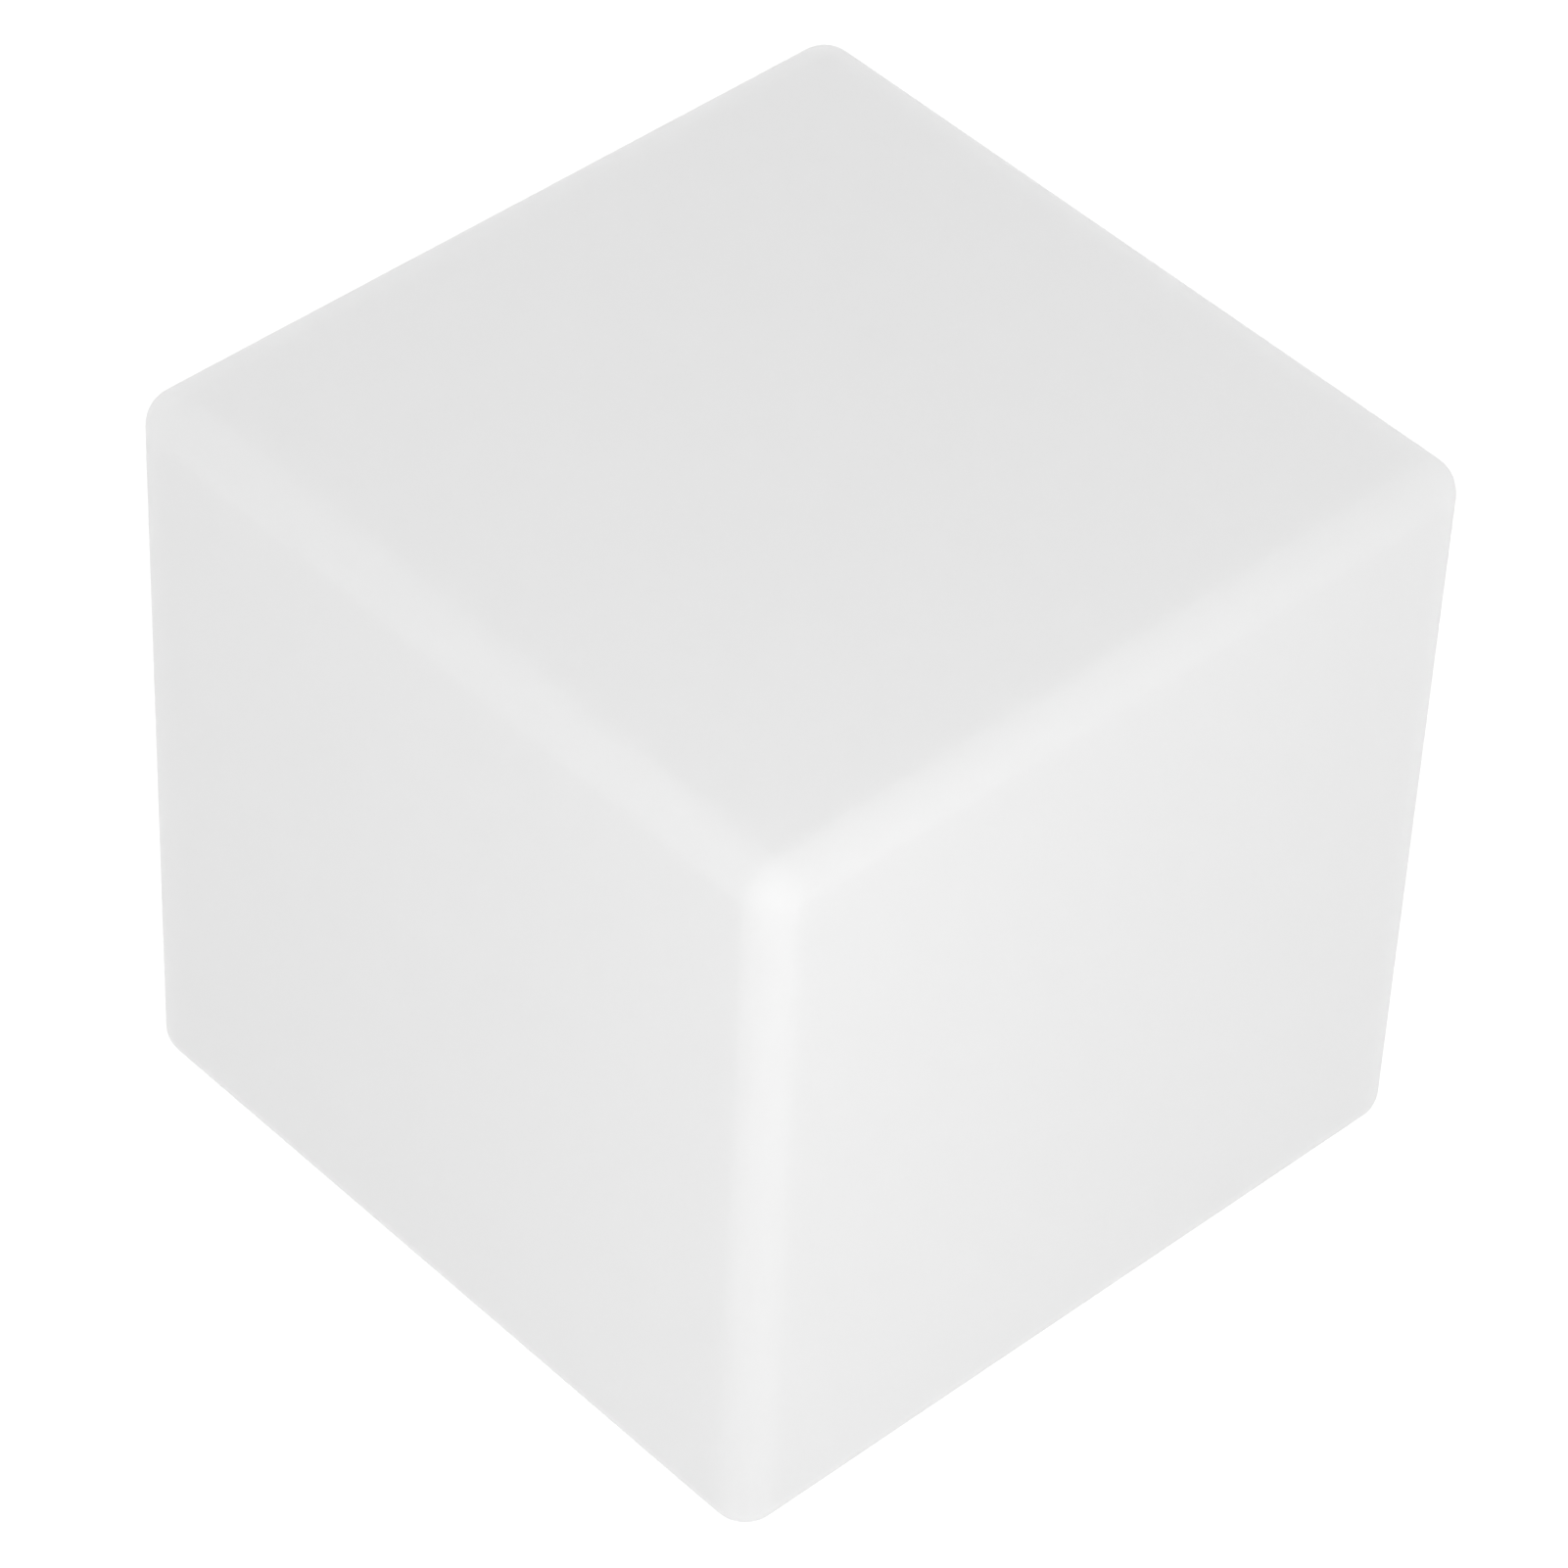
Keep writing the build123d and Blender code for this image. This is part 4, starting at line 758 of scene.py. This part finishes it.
nylon = surfaced(
    bpy.data.materials.new("natural nylon"), (0.78, 0.74, 0.62),
    roughness=0.42, drift=0.06, drift_length=0.004, grain_length=0.0003, grain_height=0.00001,
)
dress(nylon, "battery_header", "battery_plug", "ribbon_header", "ribbon_plug", "led_header", "led_plug")

# ------------------------------------------------------------------ battery, its leads
# Two sleeved cells lie in a black moulded cradle under a clamp, between sprung strips
# of nickel-plated steel. Red and black leads run from the strips to the board.
cradle_plastic = surfaced(
    bpy.data.materials.new("black nylon"), (0.022, 0.022, 0.025),
    roughness=0.55, drift=0.20, drift_length=0.015, grain_length=0.0005, grain_height=0.00003,
)
dress(cradle_plastic, "battery_cradle", "battery_clamp")
sleeve = surfaced(
    bpy.data.materials.new("blue shrink sleeve"), (0.012, 0.090, 0.350),
    roughness=0.25, drift=0.12, drift_length=0.010, grain_length=0.0012, grain_height=0.00002,
)
dress(sleeve, "battery_cell_1", "battery_cell_2")
dress(nickel, "contact_minus", "contact_plus", "contact_link")
red_sleeve = surfaced(
    bpy.data.materials.new("red silicone"), (0.34, 0.006, 0.006),
    roughness=0.50, drift=0.10, drift_length=0.004, grain_length=0.0003, grain_height=0.00001,
)
dress(red_sleeve, "lead_plus")
dress(seal_rubber, "lead_minus")
ribbon_sleeve = surfaced(
    bpy.data.materials.new("grey ribbon"), (0.30, 0.30, 0.30),
    roughness=0.50, drift=0.08, drift_length=0.004, grain_length=0.0003, grain_height=0.00001,
)
dress(ribbon_sleeve, "led_ribbon")

# ------------------------------------------------------------------- LED board, LEDs
# A round aluminium board under white solder mask, with a black infra-red receiver in
# its middle and three rings of LEDs: phosphor in the round cup of a white package.
white_mask = surfaced(
    bpy.data.materials.new("white solder mask"), (0.82, 0.82, 0.80),
    roughness=0.30, drift=0.05, drift_length=0.010, grain_length=0.0008, grain_height=0.00001,
)
dress(white_mask, "led_board")
infrared_window = surfaced(
    bpy.data.materials.new("infra-red window"), (0.016, 0.006, 0.008),
    roughness=0.12, drift=0.20, drift_length=0.004, grain_length=0.0006, grain_height=0.000004,
)
dress(infrared_window, "remote_receiver")
led_sizes = {
    "Seat": 0.05945, "Height": 0.0016, "Half Width": 0.0025, "Corner Radius": 0.0003,
    "Cup Radius": 0.0021, "Cup Depth": 0.0004,
}
led_rings = ((12, 0.036), (8, 0.022), (4, 0.0095))
led_first_turn = radians(15)
cup_steps = 6
leds = Form("LED packages", list(led_sizes))
size = leds.size
top = leds.plus(size["Seat"], size["Height"])
phosphor_top = leds.minus(top, size["Cup Depth"])
corner = leds.minus(size["Half Width"], size["Corner Radius"])
outline = leds.square(corner, size["Corner Radius"], cup_steps)
cup_ring = leds.circle(size["Cup Radius"], cup_steps)
package = leds.joined(
    leds.wall(size["Corner Radius"], cup_steps, size["Seat"], top, corner=corner),
    leds.level_face(size["Seat"], outline),
    leds.level_face(top, outline, cup_ring),
    leds.wall(size["Cup Radius"], cup_steps, phosphor_top, top),
)
white_package = surfaced(
    bpy.data.materials.new("white LED package"), (0.85, 0.84, 0.80),
    roughness=0.35, drift=0.04, drift_length=0.002, grain_length=0.0002, grain_height=0.000005,
)
phosphor = surfaced(
    bpy.data.materials.new("phosphor"), (0.85, 0.62, 0.12),
    roughness=0.45, drift=0.15, drift_length=0.001, grain_length=0.0002, grain_height=0.00001,
)
one_led = leds.joined(
    leds.made_of(package, white_package), leds.made_of(leds.level_face(phosphor_top, cup_ring), phosphor)
)
one_led = leds.welded(one_led)
rings = []
for count, radius in led_rings:
    points = leds.ring_points(count, radius)
    points = leds.put("GeometryNodeTransform", {}, {"Geometry": points, "Rotation": (0, 0, led_first_turn)})[0]
    place = leds.put("ShaderNodeSeparateXYZ", {}, {"Vector": leds.put("GeometryNodeInputPosition")[0]})
    facing = leds.put("ShaderNodeCombineXYZ", {}, {"Z": calc(leds.tree, "ARCTAN2", place["Y"], place["X"])})[0]
    rings.append(leds.repeated(one_led, points, facing))
leds.gives(leds.put("GeometryNodeRealizeInstances", {}, {"Geometry": leds.joined(*rings)})[0])
led_piece = grown("led_packages", leds, led_sizes, sharp_angle=radians(35))
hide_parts("led_chips")
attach(led_piece, "cube")

# -------------------------------------------------------------------------- the dome
# Thin clear polycarbonate, faintly frosted so that the LEDs' light spreads. It clips
# into the cup's rim.
polycarbonate = surfaced(
    bpy.data.materials.new("frosted polycarbonate"), (0.96, 0.97, 0.97),
    roughness=0.22, drift=0.06, drift_length=0.02, grain_length=0.0005, grain_height=0.00001,
    transmission_weight=1.0, ior=1.58,
)
dress(polycarbonate, "light_dome")
